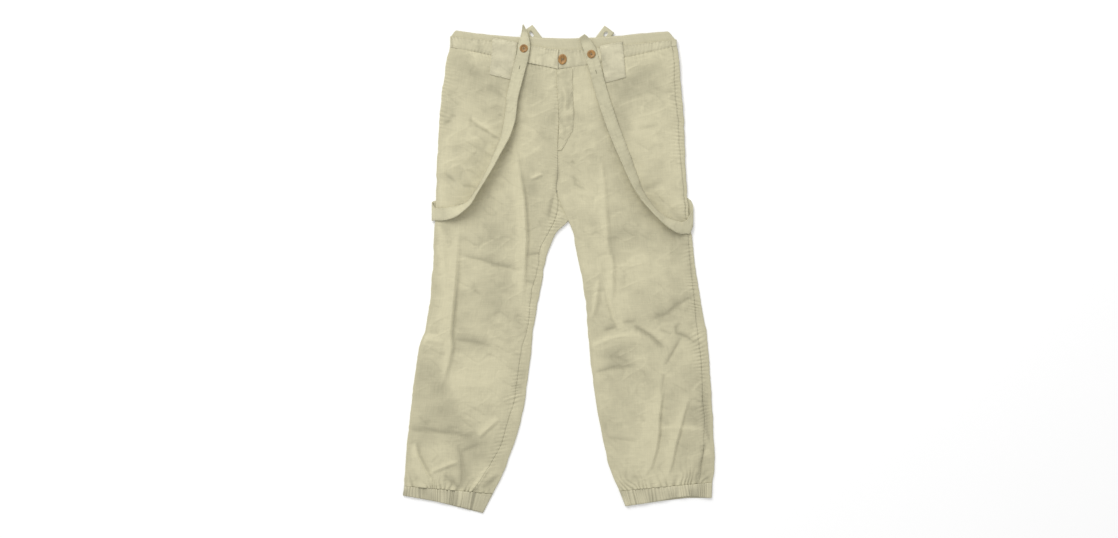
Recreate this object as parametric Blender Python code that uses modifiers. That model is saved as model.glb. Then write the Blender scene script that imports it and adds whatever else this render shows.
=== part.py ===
"""Linen trousers with gathered ankle cuffs and buttoned braces, laid flat with the front up.

Metres. The garment lies on z = 0, the waist towards +Y. Right and left are the wearer's:
the wearer's right leg lies on the -X side. Every cloth piece is a thin wall, worked out
from short tables of stations measured down the legs and along the braces.
"""

from math import cos, pi, radians, sin

import bmesh
import bpy
import numpy as np
from mathutils import Vector
from mathutils.bvhtree import BVHTree

# Cloth and seams
LEG_WALL = 0.0013
FRONT_BAND_WALL = 0.0020
BACK_BAND_WALL = 0.0018
PATCH_WALL = 0.0013
PLACKET_WALL = 0.0011
CUFF_WALL = 0.0015
BRACE_WALL = 0.0016
SEAM_GAP = 0.0003
FOLD_GAP = 0.0005
CROTCH_EASE = 0.003

# How the layers lie
EDGE_HEIGHT = 0.0042
PUFF = 0.0024
BAND_TOP = 0.0098
BAND_UNDER = 0.0049
BAND_SOFT_EDGE = 0.0003
OUTSEAM_TUCK = 0.008
INSEAM_TUCK = 0.012
CENTRE_BAND = 0.006

# Braces and buttons
BRACE_WIDTH = 0.025
BRACE_STEP = 0.014
BRACE_CLEARANCE = 0.0005
BRACE_LOWEST = 0.0009
MOST_SKEW = 1.5
FLY_BUTTON = 0.0185
BRACE_BUTTON = 0.0170
BUTTON_THICKNESS = 0.0027

# Cuffs
CUFF_HEIGHT = 0.0046
CUFF_RIBS = 24
RIB_DEPTH = 0.0007
GATHER_HEIGHT = 0.0016

# Colours, linear
LINEN = (0.52, 0.48, 0.33, 1.0)
LINEN_PALE = (0.57, 0.53, 0.38, 1.0)
LINEN_BAND = (0.49, 0.45, 0.31, 1.0)
HORN = (0.24, 0.145, 0.045, 1.0)

# The seam between the legs down to the crotch point: x, y
CENTRE_SEAM = (
    (-0.001, 0.408),
    (0.000, 0.376),
    (0.001, 0.337),
    (0.001, 0.296),
    (-0.001, 0.257),
    (-0.001, 0.222),
    (-0.001, 0.192),
    (-0.004, 0.161),
    (0.005, 0.133),
    (0.0195, 0.1005),
)
LAST_JOINED_ROW = 7

# How much higher than the front the back is cut at the centre, rows 0 to 3
BACK_RISE = (0.026, 0.014, 0.004, 0.0)

# Outer edge of each leg and the seam's distance from the folded edge: x, y, seam
OUTER_RIGHT = (
    (-0.2220, 0.4535, 0.000),
    (-0.2286, 0.4274, 0.000),
    (-0.2347, 0.3905, 0.000),
    (-0.2399, 0.3495, 0.000),
    (-0.2440, 0.3044, 0.000),
    (-0.2470, 0.2573, 0.000),
    (-0.2491, 0.2101, 0.000),
    (-0.2501, 0.1609, 0.000),
    (-0.2511, 0.1302, 0.006),
    (-0.2526, 0.1015, 0.027),
    (-0.2546, 0.0748, 0.016),
    (-0.2563, 0.0420, 0.018),
    (-0.2573, 0.0051, 0.012),
    (-0.2614, -0.0359, 0.017),
    (-0.2645, -0.0769, 0.014),
    (-0.2737, -0.1261, 0.012),
    (-0.2850, -0.1609, 0.020),
    (-0.2932, -0.2101, 0.021),
    (-0.3003, -0.2614, 0.021),
    (-0.3044, -0.3106, 0.026),
    (-0.3106, -0.3598, 0.026),
    (-0.3141, -0.4008, 0.035),
    (-0.3161, -0.4459, 0.042),
)
OUTER_LEFT = (
    (0.2420, 0.4560, 0.010),
    (0.2470, 0.4274, 0.010),
    (0.2500, 0.3905, 0.012),
    (0.2532, 0.3495, 0.013),
    (0.2563, 0.3044, 0.011),
    (0.2590, 0.2573, 0.011),
    (0.2603, 0.2101, 0.008),
    (0.2624, 0.1609, 0.006),
    (0.2655, 0.1302, 0.006),
    (0.2690, 0.1015, 0.007),
    (0.2716, 0.0748, 0.007),
    (0.2757, 0.0420, 0.008),
    (0.2798, 0.0031, 0.009),
    (0.2860, -0.0379, 0.011),
    (0.2932, -0.0769, 0.013),
    (0.3024, -0.1261, 0.018),
    (0.3065, -0.1671, 0.017),
    (0.3100, -0.2142, 0.016),
    (0.3130, -0.2634, 0.018),
    (0.3160, -0.3106, 0.017),
    (0.3192, -0.3639, 0.021),
    (0.3200, -0.4008, 0.027),
    (0.3160, -0.4380, 0.028),
)

# Inner edge of each leg below the crotch, rows 10 to 22: x, y
INNER_RIGHT = (
    (-0.0041, 0.0738),
    (-0.0200, 0.0400),
    (-0.0297, 0.0031),
    (-0.0359, -0.0379),
    (-0.0441, -0.0789),
    (-0.0520, -0.1261),
    (-0.0558, -0.1650),
    (-0.0619, -0.2163),
    (-0.0687, -0.2655),
    (-0.0789, -0.3188),
    (-0.0953, -0.3700),
    (-0.1117, -0.4151),
    (-0.1343, -0.4613),
)
INNER_LEFT = (
    (0.0297, 0.0738),
    (0.0365, 0.0379),
    (0.0441, 0.0010),
    (0.0513, -0.0379),
    (0.0564, -0.0748),
    (0.0595, -0.1220),
    (0.0634, -0.1650),
    (0.0687, -0.2122),
    (0.0754, -0.2634),
    (0.0836, -0.3126),
    (0.0943, -0.3639),
    (0.1046, -0.4069),
    (0.1245, -0.4560),
)

# Rows of each leg panel, in stations: closer together at the knee and the cuff
PANEL_ROWS = tuple(range(15)) + (14.5, 15, 15.5, 16, 16.5, 17, 18, 19, 20, 20.6, 21.2, 21.6, 22)
TOP_COLUMNS = 16
UNDER_COLUMNS = 9

# Height of the cloth's underside where it lies over the braces: y, height
UNDERSIDE = (
    (0.030, 0.0000),
    (0.080, 0.0019),
    (0.300, 0.0019),
    (0.332, 0.0038),
    (0.392, 0.0038),
    (0.415, 0.0049),
)

# Largest soft folds of the front: start x, y, end x, y, half width, height (troughs negative)
FOLDS = (
    (-0.205, 0.085, -0.217, -0.120, 0.020, 0.0030),
    (-0.217, -0.120, -0.242, -0.247, 0.018, 0.0026),
    (-0.090, 0.253, -0.066, 0.058, 0.016, 0.0020),
    (-0.066, 0.058, -0.078, -0.069, 0.016, 0.0018),
    (-0.217, 0.431, -0.143, 0.386, 0.026, -0.0020),
    (-0.176, 0.262, -0.119, 0.235, 0.022, 0.0014),
    (-0.225, -0.148, -0.130, -0.160, 0.020, -0.0022),
    (-0.228, -0.238, -0.119, -0.243, 0.022, 0.0026),
    (-0.300, -0.335, -0.175, -0.350, 0.020, 0.0020),
    (0.215, 0.425, 0.111, 0.343, 0.028, -0.0020),
    (0.086, 0.220, 0.105, 0.001, 0.020, 0.0018),
    (0.075, -0.025, 0.086, -0.110, 0.016, 0.0022),
    (0.065, -0.163, 0.171, -0.138, 0.018, 0.0026),
    (0.156, -0.112, 0.217, -0.160, 0.022, -0.0024),
    (0.217, -0.229, 0.205, -0.335, 0.017, 0.0030),
    (0.205, -0.335, 0.174, -0.427, 0.017, 0.0030),
    (0.262, -0.261, 0.224, -0.430, 0.015, 0.0028),
)

# Upper edge of the front waistband and of the back one, which stands higher: x, front y, back y
BAND_EDGES = (
    (-0.2220, 0.4750, 0.4900),
    (-0.1710, 0.4700, 0.4820),
    (-0.1200, 0.4650, 0.4765),
    (-0.0570, 0.4560, 0.4735),
    (0.0000, 0.4480, 0.4715),
    (0.0550, 0.4480, 0.4725),
    (0.1120, 0.4550, 0.4755),
    (0.1780, 0.4610, 0.4820),
    (0.2420, 0.4690, 0.4870),
)

# How far the waist seam bows down from a straight line on the wearer's left front
WAIST_BOW = 0.0035
BAND_SEAM_RIGHT = 0.004
BAND_SEAM_LEFT = 0.011

# Corners of the pieces on the front: upper outer, upper inner, lower inner, lower outer
PATCH_RIGHT = ((-0.135, 0.473), (-0.084, 0.463), (-0.092, 0.385), (-0.141, 0.397))
PATCH_LEFT = ((0.131, 0.465), (0.084, 0.456), (0.095, 0.379), (0.138, 0.391))

# The fly placket down the front opening: y, left edge x, right edge x
PLACKET = (
    (0.4075, -0.003, 0.029),
    (0.3800, -0.003, 0.029),
    (0.3500, -0.001, 0.030),
    (0.3200, 0.001, 0.031),
    (0.2900, 0.001, 0.031),
    (0.2700, 0.000, 0.022),
    (0.2550, -0.001, 0.014),
    (0.2420, -0.002, 0.005),
)

# Cuff hems from the outer to the inner edge: share of the width, x, y
HEM_RIGHT = ((0.0, -0.3190, -0.4650), (0.35, -0.2520, -0.4770), (0.75, -0.1850, -0.4940), (1.0, -0.1550, -0.5010))
HEM_LEFT = ((0.0, 0.3140, -0.4700), (0.30, 0.2620, -0.4700), (0.60, 0.2050, -0.4770), (1.0, 0.1370, -0.4870))

# Braces on the front, from the tip: x, y, turn of the width in plan, roll, rise above the cloth
BRACE_FRONT_RIGHT = (
    (-0.0730, 0.4985, 10, 38, 0.0080),
    (-0.0700, 0.4860, 4, 20, 0.0050),
    (-0.0695, 0.4680, 0, 5, 0.0010),
    (-0.0710, 0.4500, -4, 0, 0.0000),
    (-0.0756, 0.4254, -12, 0, 0.0000),
    (-0.0812, 0.4049, -14, 6, 0.0000),
    (-0.0871, 0.3803, -13, 14, 0.0000),
    (-0.0933, 0.3557, -11, 20, 0.0000),
    (-0.0998, 0.3024, -13, 30, 0.0000),
    (-0.1066, 0.2757, -20, 42, 0.0000),
    (-0.1189, 0.2470, -25, 56, 0.0000),
    (-0.1360, 0.2120, -27, 66, 0.0000),
    (-0.1530, 0.1810, -30, 74, 0.0000),
    (-0.1690, 0.1550, -36, 76, 0.0000),
    (-0.1810, 0.1360, -43, 70, 0.0000),
    (-0.1970, 0.1240, -55, 54, 0.0000),
    (-0.2170, 0.1150, -70, 24, 0.0000),
    (-0.2360, 0.1110, -84, 6, 0.0000),
)
BRACE_FRONT_LEFT = (
    (0.0490, 0.4760, 212, -28, 0.0060),
    (0.0560, 0.4640, 208, -12, 0.0030),
    (0.0620, 0.4520, 204, 0, 0.0004),
    (0.0670, 0.4380, 200, 0, 0.0000),
    (0.0730, 0.4180, 195, 0, 0.0000),
    (0.0790, 0.3940, 194, 4, 0.0000),
    (0.0860, 0.3670, 195, 6, 0.0000),
    (0.0940, 0.3410, 197, 8, 0.0000),
    (0.1030, 0.3140, 200, 10, 0.0000),
    (0.1140, 0.2830, 201, 14, 0.0000),
    (0.1280, 0.2480, 203, 22, 0.0000),
    (0.1410, 0.2160, 206, 32, 0.0000),
    (0.1540, 0.1830, 209, 44, 0.0000),
    (0.1700, 0.1510, 214, 58, 0.0000),
    (0.1920, 0.1220, 222, 66, 0.0000),
    (0.2130, 0.1020, 236, 58, 0.0000),
    (0.2360, 0.0880, 254, 34, 0.0000),
    (0.2530, 0.0830, 266, 10, 0.0000),
)

# Braces from the side to the tail under the back: x, y, z, turn of the width in plan
BRACE_BACK_RIGHT = (
    (-0.2480, 0.1105, 0.0084, -90),
    (-0.2553, 0.1125, 0.0070, -90),
    (-0.2588, 0.1160, 0.0044, -90),
    (-0.2556, 0.1210, 0.0019, -90),
    (-0.2480, 0.1265, 0.0008, -84),
    (-0.2330, 0.1360, 0.0008, -72),
    (-0.1970, 0.1610, 0.0008, -56),
    (-0.1290, 0.2220, 0.0008, -48),
    (-0.0570, 0.2940, 0.0008, -45),
    (0.0040, 0.3620, 0.0008, -42),
    (0.0400, 0.4060, 0.0008, -40),
    (0.0600, 0.4320, 0.0028, -38),
    (0.0700, 0.4440, 0.0038, -37),
    (0.0840, 0.4630, 0.0038, -37),
    (0.1043, 0.4903, 0.0038, -37),
)
BRACE_BACK_LEFT = (
    (0.2655, 0.0870, 0.0086, 270),
    (0.2722, 0.0970, 0.0071, 270),
    (0.2752, 0.1080, 0.0044, 270),
    (0.2725, 0.1180, 0.0019, 270),
    (0.2650, 0.1270, 0.0008, 264),
    (0.2500, 0.1390, 0.0008, 250),
    (0.2240, 0.1610, 0.0008, 235),
    (0.1680, 0.2160, 0.0008, 226),
    (0.1000, 0.2880, 0.0008, 223),
    (0.0560, 0.3360, 0.0008, 223),
    (0.0370, 0.3565, 0.0027, 223),
    (0.0080, 0.3870, 0.0027, 221),
    (-0.0040, 0.4010, 0.0027, 220),
    (-0.0180, 0.4220, 0.0030, 218),
    (-0.0290, 0.4420, 0.0038, 216),
    (-0.0400, 0.4600, 0.0038, 216),
    (-0.0636, 0.4920, 0.0038, 216),
)

# Buttons: name, x, y, diameter
FRONT_BUTTONS = (
    ("fly_button", 0.0080, 0.4280, FLY_BUTTON),
    ("brace_button_right", -0.0710, 0.4500, BRACE_BUTTON),
    ("brace_button_left", 0.0670, 0.4385, BRACE_BUTTON),
)
BACK_BUTTONS = (
    ("back_button_right", 0.0760, 0.4520, BRACE_BUTTON),
    ("back_button_left", -0.0350, 0.4520, BRACE_BUTTON),
)
HOLE_SPREAD = 0.0024
HOLE_RADIUS = 0.0009

# Open buttonholes in the brace tails: x, y, turn, length, width
TAIL_HOLE_RIGHT = (0.0965, 0.4800, 53, 0.0110, 0.0045)
TAIL_HOLE_LEFT = (-0.0550, 0.4800, 126, 0.0100, 0.0042)


def clear_scene():
    """Start from an empty scene, so the script can be run again."""
    for item in list(bpy.data.objects):
        bpy.data.objects.remove(item, do_unlink=True)


def new_collection(name):
    group = bpy.data.collections.new(name)
    bpy.context.scene.collection.children.link(group)
    return group


def new_material(name, colour, roughness=0.9):
    material = bpy.data.materials.new(name)
    material.use_nodes = True
    shader = material.node_tree.nodes["Principled BSDF"]
    shader.inputs["Base Color"].default_value = colour
    shader.inputs["Roughness"].default_value = roughness
    return material


def new_object(name, mesh, colour, roughness=0.9):
    item = bpy.data.objects.new(name, mesh)
    mesh.materials.append(new_material(name, colour, roughness))
    GARMENT.objects.link(item)
    return item


def sheet(name, points, wall, colour, facing_up, offset=-1.0):
    """A cloth wall on a grid of points, rows by columns; the wall lies on the inner side."""
    rows, columns = points.shape[:2]
    mesh = bpy.data.meshes.new(name)
    shape = bmesh.new()
    bmesh.ops.create_grid(shape, x_segments=columns - 1, y_segments=rows - 1, size=1.0)
    for vertex, place in zip(shape.verts, points.reshape(-1, 3)):
        vertex.co = Vector(place)
    if not facing_up:
        bmesh.ops.reverse_faces(shape, faces=shape.faces[:])
    shape.to_mesh(mesh)
    shape.free()
    item = new_object(name, mesh, colour)
    solidify = item.modifiers.new("wall", "SOLIDIFY")
    solidify.thickness = wall
    solidify.offset = offset
    return item


def smooth(table, knots, at):
    """A smooth curve through the rows of a table, whose places along it are the knots."""
    table = np.asarray(table, dtype=float)
    slopes = np.gradient(table, knots, axis=0)
    first = np.clip(np.searchsorted(knots, at, side="right") - 1, 0, len(table) - 2)
    span = (knots[first + 1] - knots[first])[:, None]
    part = (at - knots[first])[:, None] / span
    value = (2 * part**3 - 3 * part**2 + 1) * table[first] + (3 * part**2 - 2 * part**3) * table[first + 1]
    value += (part**3 - 2 * part**2 + part) * span * slopes[first]
    return value + (part**3 - part**2) * span * slopes[first + 1]


def underside(y):
    """Height of the underside of the back, lifted where it lies on the braces."""
    heights = np.asarray(UNDERSIDE)
    return np.interp(y, heights[:, 0], heights[:, 1])


def fold_height(x, y):
    """Sum of the soft folds at a point: each is a rounded bar that fades at both ends."""
    total = np.zeros_like(x)
    for x0, y0, x1, y1, half_width, height in FOLDS:
        length_squared = (x1 - x0) ** 2 + (y1 - y0) ** 2
        share = np.clip(((x - x0) * (x1 - x0) + (y - y0) * (y1 - y0)) / length_squared, 0, 1)
        away = np.hypot(x - x0 - share * (x1 - x0), y - y0 - share * (y1 - y0))
        total = total + height * np.exp(-((away / half_width) ** 2))
    return total


class Leg:
    """One leg as a flattened tube: rows from the outer to the inner folded edge."""

    def __init__(self, outer, inner, side):
        self.side = side
        gaps = [SEAM_GAP / 2 if row <= LAST_JOINED_ROW else FOLD_GAP for row in range(len(CENTRE_SEAM))]
        joined = [(x + side * gap, y) for (x, y), gap in zip(CENTRE_SEAM, gaps)]
        self.outer = np.asarray(outer)
        self.inner = np.asarray(joined + list(inner))

    def row(self, place, back):
        """Outer point, unit direction to the inner edge, width and seam distance of a row."""
        stations = np.arange(len(self.outer))
        outer = np.array([np.interp(place, stations, self.outer[:, k]) for k in (0, 1)])
        inner = np.array([np.interp(place, stations, self.inner[:, k]) for k in (0, 1)])
        if back:
            inner[1] += np.interp(place, range(len(BACK_RISE)), BACK_RISE)
        seam = np.interp(place, stations, self.outer[:, 2])
        width = float(np.linalg.norm(inner - outer))
        return outer, (inner - outer) / width, width, seam

    def top(self, x, y, share):
        """Height of the front's outer face: layers, soft puff and folds, never below the layers."""
        puff = PUFF * np.sin(pi * np.clip(share, 0, 1)) ** 0.6
        return underside(y) + EDGE_HEIGHT + np.maximum(puff + fold_height(x, y), 0) * self.ease(share)

    @staticmethod
    def ease(share):
        """Zero at both folded edges and one a little way in."""
        inward = np.clip(np.minimum(share, 1 - share) / 0.06, 0, 1)
        return inward * inward * (3 - 2 * inward)

    def points(self, place, path, back):
        """Points of one row: the path holds distances from the outer edge, with angles of the
        rounded edges or +1 and -1 for the top and the underside."""
        outer, along, width, _ = self.row(place, back)
        distance = np.array([step[0] for step in path])
        level = np.array([step[1] for step in path])
        plan = outer + distance[:, None] * along
        if back:
            plan[level > 0] = outer + distance[level > 0][:, None] * self.row(place, False)[1]
        low = underside(plan[:, 1])
        high = self.top(plan[:, 0], plan[:, 1], distance / width)
        height = (low + high) / 2 + level * (high - low) / 2
        return np.column_stack((plan, height))


def round_edge(at, inward):
    """The rounded fold of an edge, from the underside to the top: distance and level pairs."""
    radius = EDGE_HEIGHT / 2
    angles = [radians(a) for a in (-90, -30, 30, 90)]
    return [(at + inward * radius * (1 - cos(a)), sin(a)) for a in angles]


def spread(start, end, count, level):
    """Evenly spread distances on one face."""
    return [(d, level) for d in np.linspace(start, end, count)]


def waist_bow(x, place):
    """How far the front's waist seam dips below a straight row, fading in two rows: a parabola."""
    share = np.clip(x / OUTER_LEFT[0][0], 0, 1)
    return -4 * WAIST_BOW * share * (1 - share) * max(0.0, 1 - place / 2)


def waist_seam(x, rise=0.0):
    """Height up the body of the straight waist seam at x; the back rises at the centre."""
    middle = CENTRE_SEAM[0][1] + rise
    outer_right, outer_left = OUTER_RIGHT[0], OUTER_LEFT[0]
    return np.interp(x, (outer_right[0], 0.0, outer_left[0]), (outer_right[1], middle, outer_left[1]))


def gather(points, place, first, last):
    """Alternate columns stand up where the leg is drawn into its cuff."""
    strength = np.clip((place - 20.3) / 1.2, 0, 1)
    columns = np.arange(len(points))
    raised = (columns % 2 == 0) & (columns > first) & (columns < last)
    points[:, 2] += GATHER_HEIGHT * strength * raised
    return points


def front_panel(name, leg, tucked_edge):
    """A front: on one edge it turns under, on the other it ends at the seam on the top."""
    radius = EDGE_HEIGHT / 2
    rows = []
    for place in PANEL_ROWS:
        _, _, width, seam = leg.row(place, back=False)
        if tucked_edge == "outer":
            path = [(OUTSEAM_TUCK, -1)] + round_edge(0.0, 1)
            path += spread(radius, width - seam, TOP_COLUMNS + 1, 1)[1:]
        else:
            start = seam + SEAM_GAP / 2
            if place <= LAST_JOINED_ROW:
                path = spread(start, width - CENTRE_BAND, TOP_COLUMNS, 1)
                path += spread(width - CENTRE_BAND, width, 6, 1)[1:]
            else:
                path = spread(start, width - radius, TOP_COLUMNS, 1)[:-1]
                path += round_edge(width, -1)[::-1] + spread(width - radius, width - INSEAM_TUCK, 3, -1)[1:]
        points = leg.points(place, path, back=False)
        points[:, 1] += waist_bow(points[:, 0], place)
        rows.append(gather(points, place, 4, len(path) - 5))
    return sheet(name, np.array(rows), LEG_WALL, LINEN, facing_up=leg.side > 0)


def back_panel(name, leg, wrapped_edge):
    """A back: flat underneath, it wraps round one edge up to the seam on the top."""
    radius = EDGE_HEIGHT / 2
    rows = []
    for place in PANEL_ROWS:
        _, _, width, seam = leg.row(place, back=True)
        if wrapped_edge == "inner":
            start = OUTSEAM_TUCK + SEAM_GAP
            if place <= LAST_JOINED_ROW:
                path = spread(start, width - CENTRE_BAND, UNDER_COLUMNS, -1)
                path += spread(width - CENTRE_BAND, width, 6, -1)[1:]
            else:
                path = spread(start, width - radius, UNDER_COLUMNS, -1)[:-1]
                gap = SEAM_GAP + (CROTCH_EASE if place == LAST_JOINED_ROW + 1 else 0.0)
                path += round_edge(width, -1) + spread(width - radius, width - seam + gap, 3, 1)[1:]
        else:
            end = width if place <= LAST_JOINED_ROW else width - INSEAM_TUCK - SEAM_GAP
            path = [(seam - SEAM_GAP / 2, 1)] + round_edge(0.0, 1)[::-1]
            path += spread(radius, end, UNDER_COLUMNS, -1)[1:]
        rows.append(leg.points(place, path, back=True))
    return sheet(name, np.array(rows), LEG_WALL, LINEN, facing_up=leg.side < 0)


def front_band(name, x_outer, x_inner):
    """Half of the front waistband, lying on the back one."""
    table = np.asarray(BAND_EDGES)
    across = np.linspace(x_outer, x_inner, 12)
    low = waist_seam(across) + waist_bow(across, 0) + SEAM_GAP
    high = np.interp(across, table[:, 0], table[:, 1])
    rows = []
    for share in (0.0, 0.12, 0.5, 0.88, 1.0):
        height = BAND_TOP - (BAND_SOFT_EDGE if share in (0.0, 1.0) else 0.0) + np.zeros_like(across)
        rows.append(np.column_stack((across, low + share * (high - low), height)))
    return sheet(name, np.array(rows), FRONT_BAND_WALL, LINEN_BAND, facing_up=x_outer < x_inner)


def back_band():
    """The back waistband, one strip that wraps round both sides onto the front."""
    table = np.asarray(BAND_EDGES)
    right, left = table[0, 0], table[-1, 0]
    radius = (BAND_TOP - BAND_UNDER) / 2
    middle = (BAND_TOP + BAND_UNDER) / 2
    turn = [radians(a) for a in (90, 45, 0, -45, -90)]
    columns = [(right + BAND_SEAM_RIGHT - SEAM_GAP, BAND_TOP, 0.0)]
    columns += [(right + radius * (1 - cos(a)), middle + radius * sin(a), 0.0) for a in turn]
    columns += [(x, BAND_UNDER, 1.0) for x in np.linspace(right + 0.02, left - 0.02, 15)]
    columns += [(left - radius * (1 - cos(a)), middle + radius * sin(a), 0.0) for a in turn[::-1]]
    columns += [(left - BAND_SEAM_LEFT + SEAM_GAP, BAND_TOP, 0.0)]
    x, height, behind = np.array(columns).T
    low = waist_seam(x) + behind * (waist_seam(x, BACK_RISE[0]) - waist_seam(x)) + SEAM_GAP
    high_front, high_back = (np.interp(x, table[:, 0], table[:, k]) for k in (1, 2))
    high = high_front + behind * (high_back - high_front)
    rows = [np.column_stack((x, low + share * (high - low), height)) for share in (0.0, 0.5, 1.0)]
    return sheet("waistband_back", np.array(rows), BACK_BAND_WALL, LINEN_BAND, facing_up=False)


class Surface:
    """The garment's upper face so far, read by looking straight down at its pieces."""

    def __init__(self):
        self.trees = []

    def add(self, *items):
        bpy.context.view_layer.update()
        depsgraph = bpy.context.evaluated_depsgraph_get()
        self.trees += [BVHTree.FromObject(item, depsgraph) for item in items]

    def height(self, x, y):
        hits = [tree.ray_cast(Vector((x, y, 0.2)), Vector((0, 0, -1)))[0] for tree in self.trees]
        return max([hit.z for hit in hits if hit is not None], default=0.0)

    def highest(self, x, y, reach):
        """Highest point of the cloth within a small square."""
        steps = (-reach, 0.0, reach)
        return max(self.height(x + dx, y + dy) for dx in steps for dy in steps)


def laid_piece(name, surface, points, wall, colour, facing_up, reach):
    """A flat piece sewn on: its outer face is the cloth's points moved out by its own wall."""
    for place in points.reshape(-1, 3):
        place[2] = surface.highest(place[0], place[1], reach) + SEAM_GAP + wall
    return sheet(name, points, wall, colour, facing_up)


def patch(name, surface, corners):
    """A four-cornered patch over the waist seam, where a brace buttons on."""
    outer_top, inner_top, inner_low, outer_low = (np.array(c) for c in corners)
    points = np.zeros((9, 5, 3))
    for i, down in enumerate(np.linspace(0, 1, 9)):
        start = outer_top + down * (outer_low - outer_top)
        end = inner_top + down * (inner_low - inner_top)
        for j, across in enumerate(np.linspace(0, 1, 5)):
            points[i, j, :2] = start + across * (end - start)
    return laid_piece(name, surface, points, PATCH_WALL, LINEN_PALE, outer_top[0] > 0, reach=0.009)


def placket(surface):
    """The fly's topstitched lap, on the wearer's left front and over the front opening."""
    knots = np.arange(len(PLACKET))
    table = smooth(PLACKET, knots, np.linspace(0, knots[-1], 15))
    points = np.zeros((len(table), 4, 3))
    for i, (y, left, right) in enumerate(table):
        points[i, :, 0] = np.linspace(left, right, 4)
        points[i, :, 1] = y
    return laid_piece("fly_placket", surface, points, PLACKET_WALL, LINEN, False, reach=0.004)


def cuff(name, leg, hem):
    """A gathered cuff: a flat ring whose top is ribbed over a plain inside."""
    outer, along, width, _ = leg.row(len(leg.outer) - 1, back=False)
    table = np.asarray(hem)
    share = np.linspace(0, 1, 2 * CUFF_RIBS + 1)
    around = [(s, -1.0) for s in np.linspace(1, 0, 10)[1:-1]]
    around = [(0.0, 0.0)] + [(s, 1.0) for s in share[1:-1]] + [(1.0, 0.0)] + around
    walls = []
    for inset in (0.0, CUFF_WALL):
        rings = []
        for down in (0.0, 0.5, 1.0):
            ring = []
            for index, (s, level) in enumerate(around):
                top = outer + along * width * s + np.array((0.0, -SEAM_GAP))
                low = np.array([np.interp(s, table[:, 0], table[:, k]) for k in (1, 2)])
                place = top + down * (low - top)
                inward = inset if s in (0.0, 1.0) else 0.0
                place = place + along * (inward if s == 0.0 else -inward)
                rib = RIB_DEPTH if level > 0 and index % 2 and inset == 0.0 else 0.0
                height = CUFF_HEIGHT / 2 + level * (CUFF_HEIGHT / 2 - inset) + rib
                ring.append((place[0], place[1], height))
            rings.append(ring)
        walls.append(rings)
    return ring_between(name, np.array(walls[0]), np.array(walls[1]), leg.side < 0)


def ring_between(name, outside, inside, reverse):
    """A tube's wall lofted between a ribbed outer and a plain inner surface."""
    rows, count = outside.shape[:2]
    shape = bmesh.new()
    loops = list(outside) + list(inside[::-1])
    rings = [[shape.verts.new(place) for place in loop] for loop in loops]
    for index, ring in enumerate(rings):
        following = rings[(index + 1) % len(rings)]
        for k in range(count):
            n = (k + 1) % count
            shape.faces.new((ring[k], ring[n], following[n], following[k]))
    if reverse:
        bmesh.ops.reverse_faces(shape, faces=shape.faces[:])
    mesh = bpy.data.meshes.new(name)
    shape.to_mesh(mesh)
    shape.free()
    return new_object(name, mesh, LINEN_BAND)


def brace(name, surface, front, back, facing_up):
    """One strap from its tip, down the front, round the side and under the back to its tail."""
    front = np.asarray(front, dtype=float)
    back = np.asarray(back, dtype=float)
    controls = np.zeros((len(front) + len(back), 5))
    controls[: len(front), [0, 1, 3, 4]] = front[:, :4]
    controls[len(front) :, :4] = back
    rest_heights(surface, controls[: len(front)], BRACE_STEP / 2)
    controls[: len(front), 2] += front[:, 4]
    spans = np.linalg.norm(np.diff(controls[:, :3], axis=0), axis=1)
    length = np.concatenate(([0.0], np.cumsum(spans)))
    places = np.linspace(0, length[-1], int(length[-1] / BRACE_STEP))
    side = length[len(front) - 1 : len(front) + 5]
    side = np.union1d(side, (side[1:] + side[:-1]) / 2)
    near_side = (places > side[0] + 0.002) & (places < side[-1] - 0.002)
    places = np.union1d(places[~near_side], side)
    route = smooth(controls, length, places)
    on_front = places <= side[0]
    laid = rest_heights(surface, route[on_front].copy(), BRACE_STEP / 2)
    route[on_front, 2] = np.maximum(route[on_front, 2], laid[:, 2])
    route[~on_front, 2] = np.maximum(route[~on_front, 2], BRACE_LOWEST)
    route[~on_front, 4] = 0.0
    centre = route[:, :3]
    across = widths(route)
    travel = np.gradient(centre, axis=0)
    travel /= np.linalg.norm(travel, axis=1)[:, None]
    half = BRACE_WIDTH / 2 / np.linalg.norm(np.cross(across, travel), axis=1)
    half = np.minimum(half, BRACE_WIDTH * MOST_SKEW / 2)
    columns = [centre + (share * half)[:, None] * across for share in (-1.0, 0.0, 1.0)]
    points = np.stack(columns, axis=1)
    return sheet(name, points, BRACE_WALL, LINEN_PALE, facing_up, offset=0.0)


def widths(route):
    """Unit directions across a strap from its turn in plan and its roll."""
    turn, roll = np.radians(route[:, 3]), np.radians(route[:, 4])
    return np.column_stack((np.cos(turn) * np.cos(roll), np.sin(turn) * np.cos(roll), np.sin(roll)))


def rest_heights(surface, route, ahead):
    """Set each place's height so that the strap's lowest edge there touches the cloth."""
    across = widths(route)
    travel = np.gradient(route[:, :2], axis=0)
    travel /= np.linalg.norm(travel, axis=1)[:, None]
    for place, width, along in zip(route, across, travel):
        heights = []
        for share in np.linspace(-1, 1, 7):
            reach = share * BRACE_WIDTH / 2
            for step in (-ahead, 0.0, ahead):
                x, y = place[:2] + width[:2] * reach + along * step
                heights.append(surface.height(x, y) - width[2] * reach)
        place[2] = max(heights) + BRACE_CLEARANCE + BRACE_WALL / 2
    return route


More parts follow.
